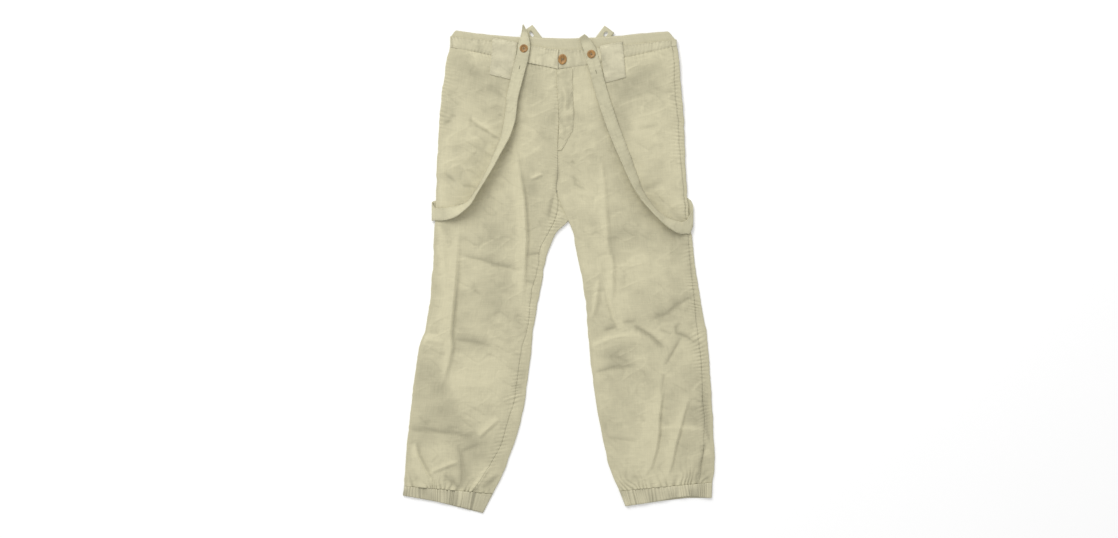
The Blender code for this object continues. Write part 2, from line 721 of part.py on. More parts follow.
def button(name, place, diameter, face_down=False):
    """A turned button with a raised rim, a dished middle and four sewing holes."""
    radius = diameter / 2
    thick = BUTTON_THICKNESS
    profile = (
        (0.0, 0.62 * thick),
        (0.52 * radius, 0.66 * thick),
        (0.66 * radius, 0.98 * thick),
        (0.86 * radius, thick),
        (radius, 0.62 * thick),
        (0.94 * radius, 0.22 * thick),
        (0.70 * radius, 0.0),
        (0.0, 0.0),
    )
    mesh = bpy.data.meshes.new(name)
    edges = [(k, k + 1) for k in range(len(profile) - 1)]
    mesh.from_pydata([(x, 0.0, z) for x, z in profile], edges, [])
    item = new_object(name, mesh, HORN, roughness=0.42)
    turned = item.modifiers.new("turned", "SCREW")
    turned.steps = turned.render_steps = 20
    turned.use_merge_vertices = True
    turned.merge_threshold = 0.00001
    holes = item.modifiers.new("sewing holes", "BOOLEAN")
    holes.operation = "DIFFERENCE"
    holes.object = HOLE_CUTTERS[face_down]
    item.location = place
    if face_down:
        item.rotation_euler = (pi, 0.0, 0.0)
    return item


def cutter(name, shape):
    mesh = bpy.data.meshes.new(name)
    shape.to_mesh(mesh)
    shape.free()
    item = bpy.data.objects.new(name, mesh)
    CUTTERS.objects.link(item)
    item.hide_render = True
    item.display_type = "WIRE"
    return item


def sewing_hole_cutter(name, place, turn):
    """Four thin rods where a button is sewn through, placed on one button."""
    shape = bmesh.new()
    for quarter in range(4):
        angle = turn + pi / 4 + quarter * pi / 2
        made = bmesh.ops.create_cone(
            shape, cap_ends=True, segments=6, radius1=HOLE_RADIUS, radius2=HOLE_RADIUS, depth=4 * BUTTON_THICKNESS
        )
        shift = Vector((HOLE_SPREAD * cos(angle), HOLE_SPREAD * sin(angle), 0.0))
        bmesh.ops.translate(shape, verts=made["verts"], vec=shift + Vector(place))
    return cutter(name, shape)


def slot_cutter(name, hole):
    """A buttonhole: a narrow block turned across the strap."""
    x, y, turn, length, width = hole
    shape = bmesh.new()
    bmesh.ops.create_cube(shape, size=1.0)
    item = cutter(name, shape)
    item.scale = (length, width, 0.05)
    item.rotation_euler = (0.0, 0.0, radians(turn))
    item.location = (x, y, 0.0)
    return item


def cut(item, tool):
    boolean = item.modifiers.new("buttonhole", "BOOLEAN")
    boolean.operation = "DIFFERENCE"
    boolean.object = tool


def main():
    right = Leg(OUTER_RIGHT, INNER_RIGHT, side=-1)
    left = Leg(OUTER_LEFT, INNER_LEFT, side=1)
    surface = Surface()

    cloth = [
        front_panel("front_right", right, "outer"),
        front_panel("front_left", left, "inner"),
        back_panel("back_right", right, "inner"),
        back_panel("back_left", left, "outer"),
        front_band("waistband_front_right", BAND_EDGES[0][0] + BAND_SEAM_RIGHT, -SEAM_GAP / 2),
        front_band("waistband_front_left", BAND_EDGES[-1][0] - BAND_SEAM_LEFT, SEAM_GAP / 2),
        back_band(),
        cuff("cuff_right", right, HEM_RIGHT),
        cuff("cuff_left", left, HEM_LEFT),
    ]
    surface.add(*cloth)
    sewn_on = [
        placket(surface),
        patch("brace_patch_right", surface, PATCH_RIGHT),
        patch("brace_patch_left", surface, PATCH_LEFT),
    ]
    surface.add(*sewn_on)
    straps = [
        brace("brace_right", surface, BRACE_FRONT_RIGHT, BRACE_BACK_RIGHT, facing_up=True),
        brace("brace_left", surface, BRACE_FRONT_LEFT, BRACE_BACK_LEFT, facing_up=False),
    ]
    cut(straps[0], slot_cutter("tail_hole_right", TAIL_HOLE_RIGHT))
    cut(straps[1], slot_cutter("tail_hole_left", TAIL_HOLE_LEFT))
    surface.add(*straps)
    for name, x, y, diameter in FRONT_BUTTONS:
        height = surface.highest(x, y, diameter * 0.35) + SEAM_GAP
        HOLE_CUTTERS[False] = sewing_hole_cutter(name + "_holes", (x, y, height), 0.0)
        button(name, (x, y, height), diameter)
    for name, x, y, diameter in BACK_BUTTONS:
        HOLE_CUTTERS[True] = sewing_hole_cutter(name + "_holes", (x, y, 0.0), 0.0)
        button(name, (x, y, BUTTON_THICKNESS), diameter, face_down=True)


clear_scene()
GARMENT = new_collection("linen_trousers")
CUTTERS = new_collection("cutters")
HOLE_CUTTERS = {}
main()
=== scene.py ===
"""Linen trousers with gathered cuffs and buttoned braces, laid flat: their cloth, sewing and buttons.

Metres. The garment lies on z = 0 with the waist towards +Y. Right and left are the wearer's: the
wearer's right leg lies on the -X side. Every cloth piece is a grid of points, rows down the garment
by columns across it, raised by one shared height: the layers below, a soft puff, the creases set out
in the tables, small puckers along the seams and a little uneven noise.
"""

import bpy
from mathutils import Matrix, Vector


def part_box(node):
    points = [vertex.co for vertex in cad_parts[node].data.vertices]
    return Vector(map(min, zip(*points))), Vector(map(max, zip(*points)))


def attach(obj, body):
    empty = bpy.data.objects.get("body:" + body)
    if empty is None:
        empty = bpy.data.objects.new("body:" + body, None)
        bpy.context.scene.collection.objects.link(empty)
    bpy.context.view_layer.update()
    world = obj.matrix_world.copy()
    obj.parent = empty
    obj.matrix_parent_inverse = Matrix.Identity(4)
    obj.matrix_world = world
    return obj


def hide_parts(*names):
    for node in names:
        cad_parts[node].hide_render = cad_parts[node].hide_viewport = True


bl_info = {
    "name": "Linen Trousers with Braces",
    "version": (1, 0, 0),
    "blender": (4, 5, 0),
    "location": "View3D > Sidebar > Trousers",
    "description": "Cloth, stitching and buttons of linen trousers laid flat, with a studio stage",
    "category": "Object",
}

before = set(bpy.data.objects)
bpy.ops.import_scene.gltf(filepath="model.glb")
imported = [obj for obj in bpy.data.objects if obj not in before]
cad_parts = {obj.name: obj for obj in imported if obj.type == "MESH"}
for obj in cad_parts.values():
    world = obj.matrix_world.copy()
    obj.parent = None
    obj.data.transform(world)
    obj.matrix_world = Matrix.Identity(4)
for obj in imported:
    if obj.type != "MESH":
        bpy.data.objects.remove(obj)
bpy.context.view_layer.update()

from math import pi, radians

import bpy
import numpy as np

# The inner side of the cloth has one square for this many squares of the outer side each way
WALL_STEP = 2

# Gap between two pieces at a seam, and between the legs' folded edges below it, which overlap
SEAM_GAP = 0.00004
FOLD_GAP = -0.0008

# The crotch: rows in which the folded edges part, the hollow at its right (x, y, radius, depth), and
# the seam drawn down above it (y, reach down the seam, reach across it, depth)
CROTCH_ROWS = 0.25
CROTCH_RECESS = (0.010, 0.122, 0.022, 0.0023)
CROTCH_PULL = (0.188, 0.018, 0.0040, 0.0014)

# A leg lying flat: height of its folded edges, how far its middle puffs up over them, how deep a
# crease may go, the share of its width in which the relief fades at an edge, and how far the cloth
# is tucked under past each kind of seam
EDGE_HEIGHT = 0.0042
EDGE_RADIUS = EDGE_HEIGHT / 2
PUFF = 0.0024
DEEPEST = 0.0008
EDGE_FADE = 0.05
OUTSEAM_TUCK = 0.008
INSEAM_TUCK = 0.012

# Columns of a leg panel: round a folded edge, on its wide side in front and behind, and on the
# narrow side that a back wraps over onto the top
TURN_COLUMNS = 8
TOP_COLUMNS = 119
UNDER_COLUMNS = 41
WRAP_COLUMNS = 10

# Outer faces of the front and of the back waistband, and how far the relief of each may go
BAND_TOP = 0.0098
BAND_UNDER = 0.0049
BAND_RELIEF = (-0.0013, 0.0010)
SMALL_RELIEF = (-0.0006, 0.0006)

# How far the relief of the patches and the placket may go; height and width of a patch
PATCH_RELIEF = (-0.0006, 0.0008)
PATCH_SIZE = (0.079, 0.050)

# Gathers above a cuff: steps across the leg, of which one gather takes GATHER_STEPS; how high they
# are and how far up the leg they reach
GATHERS = 24
GATHER_STEPS = 1.35
GATHER_HEIGHT = 0.0018
GATHER_REACH = 0.013

# Cuffs: height of the flat ring, columns round it, ribs on each face, their height, and half the
# angle that each end takes up
CUFF_HEIGHT = 0.0048
CUFF_COLUMNS = 520
CUFF_RIBS = 33
RIB_HEIGHT = 0.0009
CUFF_END = 0.10

# Creases: the widest side that counts as steep, how deep the groove at its foot is, and the width
# past which a crease fades sooner towards its ends
STEEP = 0.0045
FOOT_DEPTH = 0.40
BROAD = 0.012

# Small sharp wrinkles: size of the noise's cell, stretch, lean, and up or down
CRUMPLES = (
    (0.060, 2.6, 0.5, 0.9),
    (0.044, 2.2, -0.7, -0.9),
    (0.028, 2.4, 0.3, 0.6),
    (0.020, 1.8, -1.2, -0.5),
)

# Braces: width, step along them, room over the cloth, lowest height of their middle, and how many
# times their width they may have at a bend
BRACE_WIDTH = 0.025
BRACE_STEP = 0.0025
BRACE_CLEARANCE = 0.0004
BRACE_LOWEST = 0.0009
MOST_SKEW = 1.5

# The seam between the legs down to the crotch point: x, y
CENTRE_SEAM = (
    (-0.001, 0.408),
    (0.000, 0.376),
    (0.001, 0.337),
    (0.001, 0.296),
    (-0.001, 0.257),
    (-0.001, 0.222),
    (-0.001, 0.192),
    (-0.004, 0.161),
    (0.005, 0.133),
    (0.0195, 0.1005),
)
# The last station down the seam, counted from the waist, where both legs are still joined
LAST_JOINED_ROW = 7

# How much higher than the front the back is cut at the centre, rows 0 to 3
BACK_RISE = (0.026, 0.014, 0.004, 0.0)

# Outer edge of each leg and the seam's distance from the folded edge: x, y, seam
OUTER_RIGHT = (
    (-0.2220, 0.4535, 0.000),
    (-0.2286, 0.4274, 0.000),
    (-0.2347, 0.3905, 0.000),
    (-0.2399, 0.3495, 0.000),
    (-0.2440, 0.3044, 0.000),
    (-0.2470, 0.2573, 0.000),
    (-0.2491, 0.2101, 0.000),
    (-0.2501, 0.1609, 0.000),
    (-0.2511, 0.1302, 0.006),
    (-0.2526, 0.1015, 0.027),
    (-0.2546, 0.0748, 0.016),
    (-0.2563, 0.0420, 0.018),
    (-0.2573, 0.0051, 0.012),
    (-0.2614, -0.0359, 0.017),
    (-0.2645, -0.0769, 0.014),
    (-0.2737, -0.1261, 0.012),
    (-0.2850, -0.1609, 0.020),
    (-0.2932, -0.2101, 0.021),
    (-0.3003, -0.2614, 0.021),
    (-0.3044, -0.3106, 0.026),
    (-0.3106, -0.3598, 0.026),
    (-0.3141, -0.4008, 0.035),
    (-0.3161, -0.4459, 0.042),
)
OUTER_LEFT = (
    (0.2420, 0.4560, 0.010),
    (0.2470, 0.4274, 0.010),
    (0.2500, 0.3905, 0.012),
    (0.2532, 0.3495, 0.013),
    (0.2563, 0.3044, 0.011),
    (0.2590, 0.2573, 0.011),
    (0.2603, 0.2101, 0.008),
    (0.2624, 0.1609, 0.006),
    (0.2655, 0.1302, 0.006),
    (0.2690, 0.1015, 0.007),
    (0.2716, 0.0748, 0.007),
    (0.2757, 0.0420, 0.008),
    (0.2798, 0.0031, 0.009),
    (0.2860, -0.0379, 0.011),
    (0.2932, -0.0769, 0.013),
    (0.3024, -0.1261, 0.018),
    (0.3065, -0.1671, 0.017),
    (0.3100, -0.2142, 0.016),
    (0.3130, -0.2634, 0.018),
    (0.3160, -0.3106, 0.017),
    (0.3192, -0.3639, 0.021),
    (0.3200, -0.4008, 0.027),
    (0.3160, -0.4380, 0.028),
)

# Inner edge of each leg below the crotch, rows 10 to 22: x, y
INNER_RIGHT = (
    (-0.0041, 0.0738),
    (-0.0200, 0.0400),
    (-0.0297, 0.0031),
    (-0.0359, -0.0379),
    (-0.0441, -0.0789),
    (-0.0520, -0.1261),
    (-0.0558, -0.1650),
    (-0.0619, -0.2163),
    (-0.0687, -0.2655),
    (-0.0789, -0.3188),
    (-0.0953, -0.3700),
    (-0.1117, -0.4151),
    (-0.1343, -0.4613),
)
INNER_LEFT = (
    (0.0297, 0.0738),
    (0.0365, 0.0379),
    (0.0441, 0.0010),
    (0.0513, -0.0379),
    (0.0564, -0.0748),
    (0.0595, -0.1220),
    (0.0634, -0.1650),
    (0.0687, -0.2122),
    (0.0754, -0.2634),
    (0.0836, -0.3126),
    (0.0943, -0.3639),
    (0.1046, -0.4069),
    (0.1245, -0.4560),
)

# Height of the cloth's underside where it lies over the braces: y, height
UNDERSIDE = (
    (0.030, 0.0000),
    (0.080, 0.0019),
    (0.300, 0.0019),
    (0.332, 0.0038),
    (0.392, 0.0038),
    (0.415, 0.0049),
)

# Upper edge of the front waistband and of the back one, which stands higher: x, front y, back y
BAND_EDGES = (
    (-0.2220, 0.4750, 0.4900),
    (-0.1710, 0.4700, 0.4820),
    (-0.1200, 0.4650, 0.4765),
    (-0.0570, 0.4560, 0.4735),
    (0.0000, 0.4480, 0.4715),
    (0.0550, 0.4480, 0.4725),
    (0.1120, 0.4550, 0.4755),
    (0.1780, 0.4610, 0.4820),
    (0.2420, 0.4690, 0.4870),
)
# How far the front's waist seam bows down, the seed of its puckers on both sides of the seam, and
# how far the back waistband wraps round onto the front
WAIST_BOW = 0.0035
WAIST_SEED = 301
BAND_SEAM_RIGHT = 0.004
BAND_SEAM_LEFT = 0.011

# Corners of the patches: upper outer, upper inner, lower inner, lower outer
PATCH_RIGHT = ((-0.135, 0.473), (-0.084, 0.463), (-0.092, 0.385), (-0.141, 0.397))
PATCH_LEFT = ((0.131, 0.465), (0.084, 0.456), (0.095, 0.379), (0.138, 0.391))

# The fly placket down the front opening: y, left edge x, right edge x
PLACKET = (
    (0.4075, -0.003, 0.029),
    (0.3800, -0.003, 0.029),
    (0.3500, -0.001, 0.030),
    (0.3200, 0.001, 0.031),
    (0.2900, 0.001, 0.031),
    (0.2700, 0.000, 0.022),
    (0.2550, -0.001, 0.014),
    (0.2420, -0.002, 0.005),
)

# Cuff hems from the outer to the inner edge: share of the width, x, y
HEM_RIGHT = (
    (0.00, -0.3190, -0.4650),
    (0.35, -0.2520, -0.4770),
    (0.75, -0.1850, -0.4940),
    (1.00, -0.1550, -0.5010),
)
HEM_LEFT = (
    (0.00, 0.3140, -0.4700),
    (0.30, 0.2620, -0.4700),
    (0.60, 0.2050, -0.4770),
    (1.00, 0.1370, -0.4870),
)

# One deep fold across each cuff: share of the width, depth, step beyond it; and where the hem gapes:
# from and to share of the width, how far the front is drawn up
FOLD_CUFF_RIGHT = (0.80, 0.0020, 0.0014)
FOLD_CUFF_LEFT = (0.86, 0.0006, 0.0)
OPENING_RIGHT = (0.35, 1.0, 0.0012)
OPENING_LEFT = (0.03, 0.62, 0.0032)

# Braces on the front, from the tip: x, y, turn of the width in plan, roll, rise above the cloth
BRACE_FRONT_RIGHT = (
    (-0.0730, 0.4985, 10, 38, 0.0080),
    (-0.0700, 0.4860, 4, 20, 0.0050),
    (-0.0695, 0.4680, 0, 5, 0.0010),
    (-0.0710, 0.4500, -4, 0, 0.0000),
    (-0.0756, 0.4254, -12, 0, 0.0000),
    (-0.0812, 0.4049, -14, 6, 0.0000),
    (-0.0871, 0.3803, -13, 14, 0.0000),
    (-0.0933, 0.3557, -11, 20, 0.0000),
    (-0.0998, 0.3024, -13, 30, 0.0000),
    (-0.1066, 0.2757, -20, 42, 0.0000),
    (-0.1189, 0.2470, -25, 56, 0.0000),
    (-0.1360, 0.2120, -27, 66, 0.0000),
    (-0.1530, 0.1810, -30, 74, 0.0000),
    (-0.1690, 0.1550, -36, 76, 0.0000),
    (-0.1810, 0.1360, -43, 70, 0.0000),
    (-0.1970, 0.1240, -55, 54, 0.0000),
    (-0.2170, 0.1150, -70, 24, 0.0000),
    (-0.2360, 0.1110, -84, 6, 0.0000),
)
BRACE_FRONT_LEFT = (
    (0.0490, 0.4760, 212, -28, 0.0060),
    (0.0560, 0.4640, 208, -12, 0.0030),
    (0.0620, 0.4520, 204, 0, 0.0004),
    (0.0670, 0.4380, 200, 0, 0.0000),
    (0.0730, 0.4180, 195, 0, 0.0000),
    (0.0790, 0.3940, 194, 4, 0.0000),
    (0.0860, 0.3670, 195, 6, 0.0000),
    (0.0940, 0.3410, 197, 8, 0.0000),
    (0.1030, 0.3140, 200, 10, 0.0000),
    (0.1140, 0.2830, 201, 14, 0.0000),
    (0.1280, 0.2480, 203, 22, 0.0000),
    (0.1410, 0.2160, 206, 32, 0.0000),
    (0.1540, 0.1830, 209, 44, 0.0000),
    (0.1700, 0.1510, 214, 58, 0.0000),
    (0.1920, 0.1220, 222, 66, 0.0000),
    (0.2130, 0.1020, 236, 58, 0.0000),
    (0.2360, 0.0880, 254, 34, 0.0000),
    (0.2530, 0.0830, 266, 10, 0.0000),
)

# Braces from the side to the tail under the back: x, y, z, turn of the width in plan
BRACE_BACK_RIGHT = (
    (-0.2480, 0.1105, 0.0084, -90),
    (-0.2553, 0.1125, 0.0070, -90),
    (-0.2588, 0.1160, 0.0044, -90),
    (-0.2556, 0.1210, 0.0019, -90),
    (-0.2480, 0.1265, 0.0008, -84),
    (-0.2330, 0.1360, 0.0008, -72),
    (-0.1970, 0.1610, 0.0008, -56),
    (-0.1290, 0.2220, 0.0008, -48),
    (-0.0570, 0.2940, 0.0008, -45),
    (0.0040, 0.3620, 0.0008, -42),
    (0.0400, 0.4060, 0.0008, -40),
    (0.0600, 0.4320, 0.0028, -38),
    (0.0700, 0.4440, 0.0038, -37),
    (0.0840, 0.4630, 0.0038, -37),
    (0.1043, 0.4903, 0.0038, -37),
)
BRACE_BACK_LEFT = (
    (0.2655, 0.0870, 0.0086, 270),
    (0.2722, 0.0970, 0.0071, 270),
    (0.2752, 0.1080, 0.0044, 270),
    (0.2725, 0.1180, 0.0019, 270),
    (0.2650, 0.1270, 0.0008, 264),
    (0.2500, 0.1390, 0.0008, 250),
    (0.2240, 0.1610, 0.0008, 235),
    (0.1680, 0.2160, 0.0008, 226),
    (0.1000, 0.2880, 0.0008, 223),
    (0.0560, 0.3360, 0.0008, 223),
    (0.0370, 0.3565, 0.0027, 223),
    (0.0080, 0.3870, 0.0027, 221),
    (-0.0040, 0.4010, 0.0027, 220),
    (-0.0180, 0.4220, 0.0030, 218),
    (-0.0290, 0.4420, 0.0038, 216),
    (-0.0400, 0.4600, 0.0038, 216),
    (-0.0636, 0.4920, 0.0038, 216),
)

# How a brace narrows to its tip: distance from the tip, left and right edge as shares of half its width
TIP_RIGHT = (
    (0.0, -0.05, 0.10),
    (0.012, -0.40, 0.35),
    (0.030, -0.80, 0.75),
    (0.046, -1.0, 1.0),
    (2.0, -1.0, 1.0),
)
TIP_LEFT = (
    (0.0, -0.40, 0.60),
    (0.006, -0.62, 0.72),
    (0.020, -0.85, 0.88),
    (0.034, -1.0, 1.0),
    (2.0, -1.0, 1.0),
)

# Buttonhole in the front of each brace: distance from the tip along it, length, width
HOLE_RIGHT = (0.0900, 0.0080, 0.0009)
HOLE_LEFT = (0.0810, 0.0080, 0.0009)

# Open buttonhole in each brace's tail: x, y, turn in plan, length, width
TAIL_HOLE_RIGHT = (0.0965, 0.4800, 53, 0.0108, 0.0066)
TAIL_HOLE_LEFT = (-0.0550, 0.4800, 126, 0.0115, 0.0056)

# A button from the middle of its face over the rim to the middle of its back: share of the radius,
# share of the thickness; and the sides of its rim
BUTTON_PROFILE = (
    (0.001, 0.60), (0.25, 0.60), (0.42, 0.62), (0.52, 0.70), (0.60, 0.86), (0.68, 0.97), (0.76, 1.00),
    (0.85, 0.98), (0.93, 0.88), (0.985, 0.70), (1.00, 0.52), (0.985, 0.34), (0.93, 0.16), (0.82, 0.04),
    (0.66, 0.00), (0.30, 0.00), (0.001, 0.00),
)
BUTTON_SIDES = 56

# Four holes of a button: distance of each from its middle, radius
HOLE_SPREAD = 0.0023
HOLE_RADIUS = 0.0008

# Thread through a button: the share of the button's thickness at which it starts, its radius, and
# how far its ends go down into the holes
THREAD_HEIGHT = 0.72
THREAD_RADIUS = 0.00042
THREAD_DROP = 0.0006

# A stitch: rings along it (place, share of its radius), sides, length, radius, distance to the next,
# and in radii how far it bows up and how high its middle lies
STITCH_RINGS = ((-0.50, 0.30), (-0.36, 0.85), (0.0, 1.0), (0.36, 0.85), (0.50, 0.30))
STITCH_SIDES = 4
STITCH_LENGTH = 0.0027
STITCH_RADIUS = 0.00030
STITCH_PITCH = 0.0036
STITCH_BOW = 0.6
STITCH_RISE = 0.2

# Distance from thread to thread in the weave
WEAVE_PITCH = 0.00085

# Creases: height, width on the left of its direction, width on the right, sharpness, points
HIP_RIGHT_CREASES = (
    (-0.0009, 0.018, 0.014, 2, ((-0.218, 0.432), (-0.194, 0.413), (-0.175, 0.401), (-0.145, 0.386))),
    (-0.0008, 0.008, 0.006, 2, ((-0.147, 0.370), (-0.112, 0.352))),
    (-0.0007, 0.003, 0.003, 1.4, ((-0.123, 0.315), (-0.114, 0.311))),
    (-0.0009, 0.004, 0.004, 1.4, ((-0.222, 0.309), (-0.210, 0.313))),
    (-0.0011, 0.005, 0.004, 1.4, ((-0.235, 0.295), (-0.218, 0.304))),
    (0.0011, 0.005, 0.0025, 1.2, ((-0.181, 0.309), (-0.151, 0.288), (-0.120, 0.267))),
    (-0.0011, 0.004, 0.004, 1.3, ((-0.177, 0.295), (-0.140, 0.276))),
    (-0.0009, 0.004, 0.003, 1.3, ((-0.138, 0.268), (-0.120, 0.267))),
    (-0.0006, 0.005, 0.004, 1.6, ((-0.171, 0.251), (-0.136, 0.223))),
    (-0.0008, 0.003, 0.003, 1.4, ((-0.179, 0.311), (-0.179, 0.286))),
    (-0.0014, 0.004, 0.003, 1.2, ((-0.232, 0.194), (-0.210, 0.176))),
    (-0.0011, 0.004, 0.003, 1.2, ((-0.196, 0.169), (-0.170, 0.166))),
    (0.0014, 0.005, 0.003, 1.2, ((-0.058, 0.183), (-0.032, 0.194))),
)
LEG_RIGHT_CREASES = (
    (0.0030, 0.0035, 0.018, 1.4, (
        (-0.206, 0.087), (-0.208, 0.036), (-0.212, -0.028), (-0.218, -0.089), (-0.222, -0.132),
        (-0.220, -0.163), (-0.227, -0.196), (-0.239, -0.235), (-0.243, -0.247),
    )),
    (0.0015, 0.006, 0.01, 1.6, (
        (-0.253, 0.099), (-0.237, 0.063), (-0.235, 0.036), (-0.233, -0.005), (-0.227, -0.038),
    )),
    (0.0030, 0.003, 0.014, 1.3, (
        (-0.091, 0.253), (-0.080, 0.192), (-0.071, 0.140), (-0.066, 0.058), (-0.069, 0.024),
        (-0.070, -0.005), (-0.072, -0.038), (-0.079, -0.069),
    )),
    (-0.0015, 0.007, 0.003, 1.2, (
        (-0.204, 0.028), (-0.157, 0.017), (-0.130, 0.007), (-0.099, 0.001), (-0.074, -0.006),
    )),
    (-0.0013, 0.005, 0.003, 1.2, ((-0.067, 0.026), (-0.034, 0.031))),
    (-0.0010, 0.004, 0.003, 1.2, ((-0.066, -0.025), (-0.048, -0.034))),
    (-0.0008, 0.005, 0.004, 1.5, ((-0.179, -0.040), (-0.157, -0.056))),
    (0.0022, 0.01, 0.012, 1.2, ((-0.280, -0.142), (-0.235, -0.153))),
    (-0.0016, 0.008, 0.004, 1.2, ((-0.212, -0.145), (-0.171, -0.153), (-0.136, -0.159))),
    (0.0024, 0.028, 0.022, 1.1, ((-0.237, -0.243), (-0.181, -0.241), (-0.112, -0.245))),
    (-0.0018, 0.008, 0.003, 1.2, ((-0.306, -0.331), (-0.276, -0.333), (-0.214, -0.339), (-0.176, -0.347))),
    (0.0016, 0.008, 0.003, 1.2, ((-0.164, -0.345), (-0.122, -0.308))),
    (0.0028, 0.003, 0.009, 1.2, ((-0.295, -0.358), (-0.289, -0.386), (-0.271, -0.421), (-0.258, -0.444))),
    (0.0015, 0.006, 0.003, 1.2, ((-0.261, -0.417), (-0.206, -0.395))),
    (-0.0016, 0.005, 0.004, 1.2, ((-0.208, -0.360), (-0.199, -0.386), (-0.196, -0.423), (-0.198, -0.452))),
    (-0.0012, 0.005, 0.004, 1.3, ((-0.199, -0.376), (-0.161, -0.362))),
    (-0.0015, 0.004, 0.005, 1.3, ((-0.236, -0.421), (-0.201, -0.452))),
    (-0.0015, 0.005, 0.004, 1.3, ((-0.122, -0.423), (-0.157, -0.452))),
    (0.0018, 0.0025, 0.006, 1.3, ((-0.142, -0.405), (-0.161, -0.434), (-0.181, -0.460))),
    (-0.0015, 0.003, 0.005, 1.2, ((-0.005, 0.161), (-0.010, 0.147), (-0.016, 0.121), (-0.021, 0.097))),
)
HIP_LEFT_CREASES = (
    (-0.0009, 0.016, 0.02, 2, ((0.215, 0.425), (0.179, 0.407), (0.148, 0.370), (0.110, 0.343))),
    (-0.0009, 0.006, 0.005, 1.6, ((0.161, 0.286), (0.206, 0.292))),
    (-0.0008, 0.008, 0.006, 1.8, ((0.174, 0.161), (0.216, 0.175))),
    (-0.0011, 0.004, 0.004, 1.3, ((0.030, 0.192), (0.036, 0.171), (0.058, 0.159))),
    (-0.0009, 0.003, 0.003, 1.3, ((0.026, 0.220), (0.036, 0.212))),
    (-0.0012, 0.003, 0.003, 1.2, ((0.028, 0.360), (0.024, 0.341), (0.019, 0.325))),
)
LEG_LEFT_CREASES = (
    (0.0013, 0.004, 0.012, 1.4, ((0.086, 0.220), (0.093, 0.161), (0.099, 0.058), (0.106, 0.001))),
    (0.0017, 0.003, 0.012, 1.2, ((0.108, 0.028), (0.111, 0.003), (0.111, -0.034), (0.111, -0.065))),
    (0.0015, 0.012, 0.014, 1.1, ((0.101, 0.001), (0.150, 0.005), (0.188, 0.013))),
    (0.0015, 0.004, 0.006, 1.5, ((0.081, -0.024), (0.075, -0.073), (0.067, -0.101))),
    (0.0019, 0.007, 0.0035, 1.4, ((0.099, -0.034), (0.108, -0.073), (0.118, -0.106), (0.130, -0.130))),
    (-0.0014, 0.005, 0.003, 1.2, ((0.093, -0.128), (0.118, -0.120))),
    (-0.0012, 0.005, 0.004, 1.2, ((0.130, -0.111), (0.161, -0.108))),
    (-0.0018, 0.008, 0.0035, 1.2, (
        (0.185, -0.108), (0.227, -0.092), (0.245, -0.075), (0.265, -0.063), (0.281, -0.058),
    )),
    (-0.0024, 0.004, 0.005, 1.3, ((0.155, -0.118), (0.188, -0.138), (0.216, -0.163))),
    (-0.0012, 0.004, 0.004, 1.3, ((0.206, -0.124), (0.232, -0.136))),
    (-0.0016, 0.004, 0.004, 1.3, (
        (0.251, -0.111), (0.241, -0.120), (0.242, -0.133), (0.265, -0.141), (0.277, -0.151),
        (0.288, -0.153),
    )),
    (-0.0019, 0.003, 0.005, 1.1, ((0.251, -0.142), (0.235, -0.171), (0.219, -0.199))),
    (-0.0012, 0.003, 0.004, 1.2, ((0.216, -0.216), (0.214, -0.239), (0.208, -0.270))),
    (0.0018, 0.007, 0.006, 1.3, ((0.065, -0.163), (0.103, -0.145), (0.132, -0.139), (0.171, -0.139))),
    (-0.0007, 0.012, 0.014, 2, ((0.085, -0.179), (0.126, -0.167), (0.167, -0.161))),
    (-0.0015, 0.006, 0.004, 1.3, ((0.073, -0.214), (0.112, -0.204), (0.159, -0.200))),
    (-0.0010, 0.004, 0.004, 1.3, ((0.103, -0.180), (0.144, -0.190))),
    (0.0026, 0.0025, 0.016, 1.2, (
        (0.218, -0.229), (0.210, -0.263), (0.205, -0.309), (0.205, -0.335), (0.200, -0.370),
        (0.190, -0.405), (0.173, -0.427),
    )),
    (0.0022, 0.0025, 0.014, 1.2, (
        (0.267, -0.261), (0.256, -0.298), (0.249, -0.327), (0.239, -0.362), (0.232, -0.397),
        (0.220, -0.436),
    )),
    (-0.0014, 0.003, 0.003, 1.2, ((0.295, -0.251), (0.298, -0.292), (0.304, -0.331), (0.313, -0.364))),
    (-0.0016, 0.003, 0.004, 1.2, ((0.304, -0.352), (0.296, -0.378), (0.290, -0.413), (0.288, -0.436))),
    (0.0012, 0.006, 0.006, 1.4, ((0.204, -0.327), (0.249, -0.327), (0.298, -0.331))),
    (-0.0009, 0.006, 0.004, 1.4, ((0.103, -0.347), (0.163, -0.354))),
)

# Where the seams are puckered: the seam or edge, how far the puckers reach, and y, strength down it
RIGHT_SEAMS = (
    ("seam", 0.010, (
        (0.42, 0.6), (0.25, 0.9), (0.17, 0.7), (0.12, 1.4), (0.06, 1.1), (0.01, 0.8), (-0.08, 0.8),
        (-0.15, 1.2), (-0.30, 1.5), (-0.38, 1.0), (-0.46, 0.6),
    )),
    ("outer", 0.011, (
        (0.44, 0.1), (0.41, 1.0), (0.30, 1.2), (0.27, 0.5), (0.12, 0.3), (0.0, 0.1), (-0.45, 0.2),
    )),
)
LEFT_SEAMS = (
    ("seam", 0.011, (
        (0.44, 0.3), (0.42, 1.0), (0.29, 1.3), (0.20, 0.7), (0.10, 0.9), (0.00, 0.8), (-0.04, 1.4),
        (-0.16, 1.5), (-0.27, 1.4), (-0.34, 0.8), (-0.46, 0.6),
    )),
    ("inner", 0.008, ((0.42, 0.6), (0.25, 0.9), (0.20, 0.3), (0.16, 0.0), (-0.45, 0.2))),
)

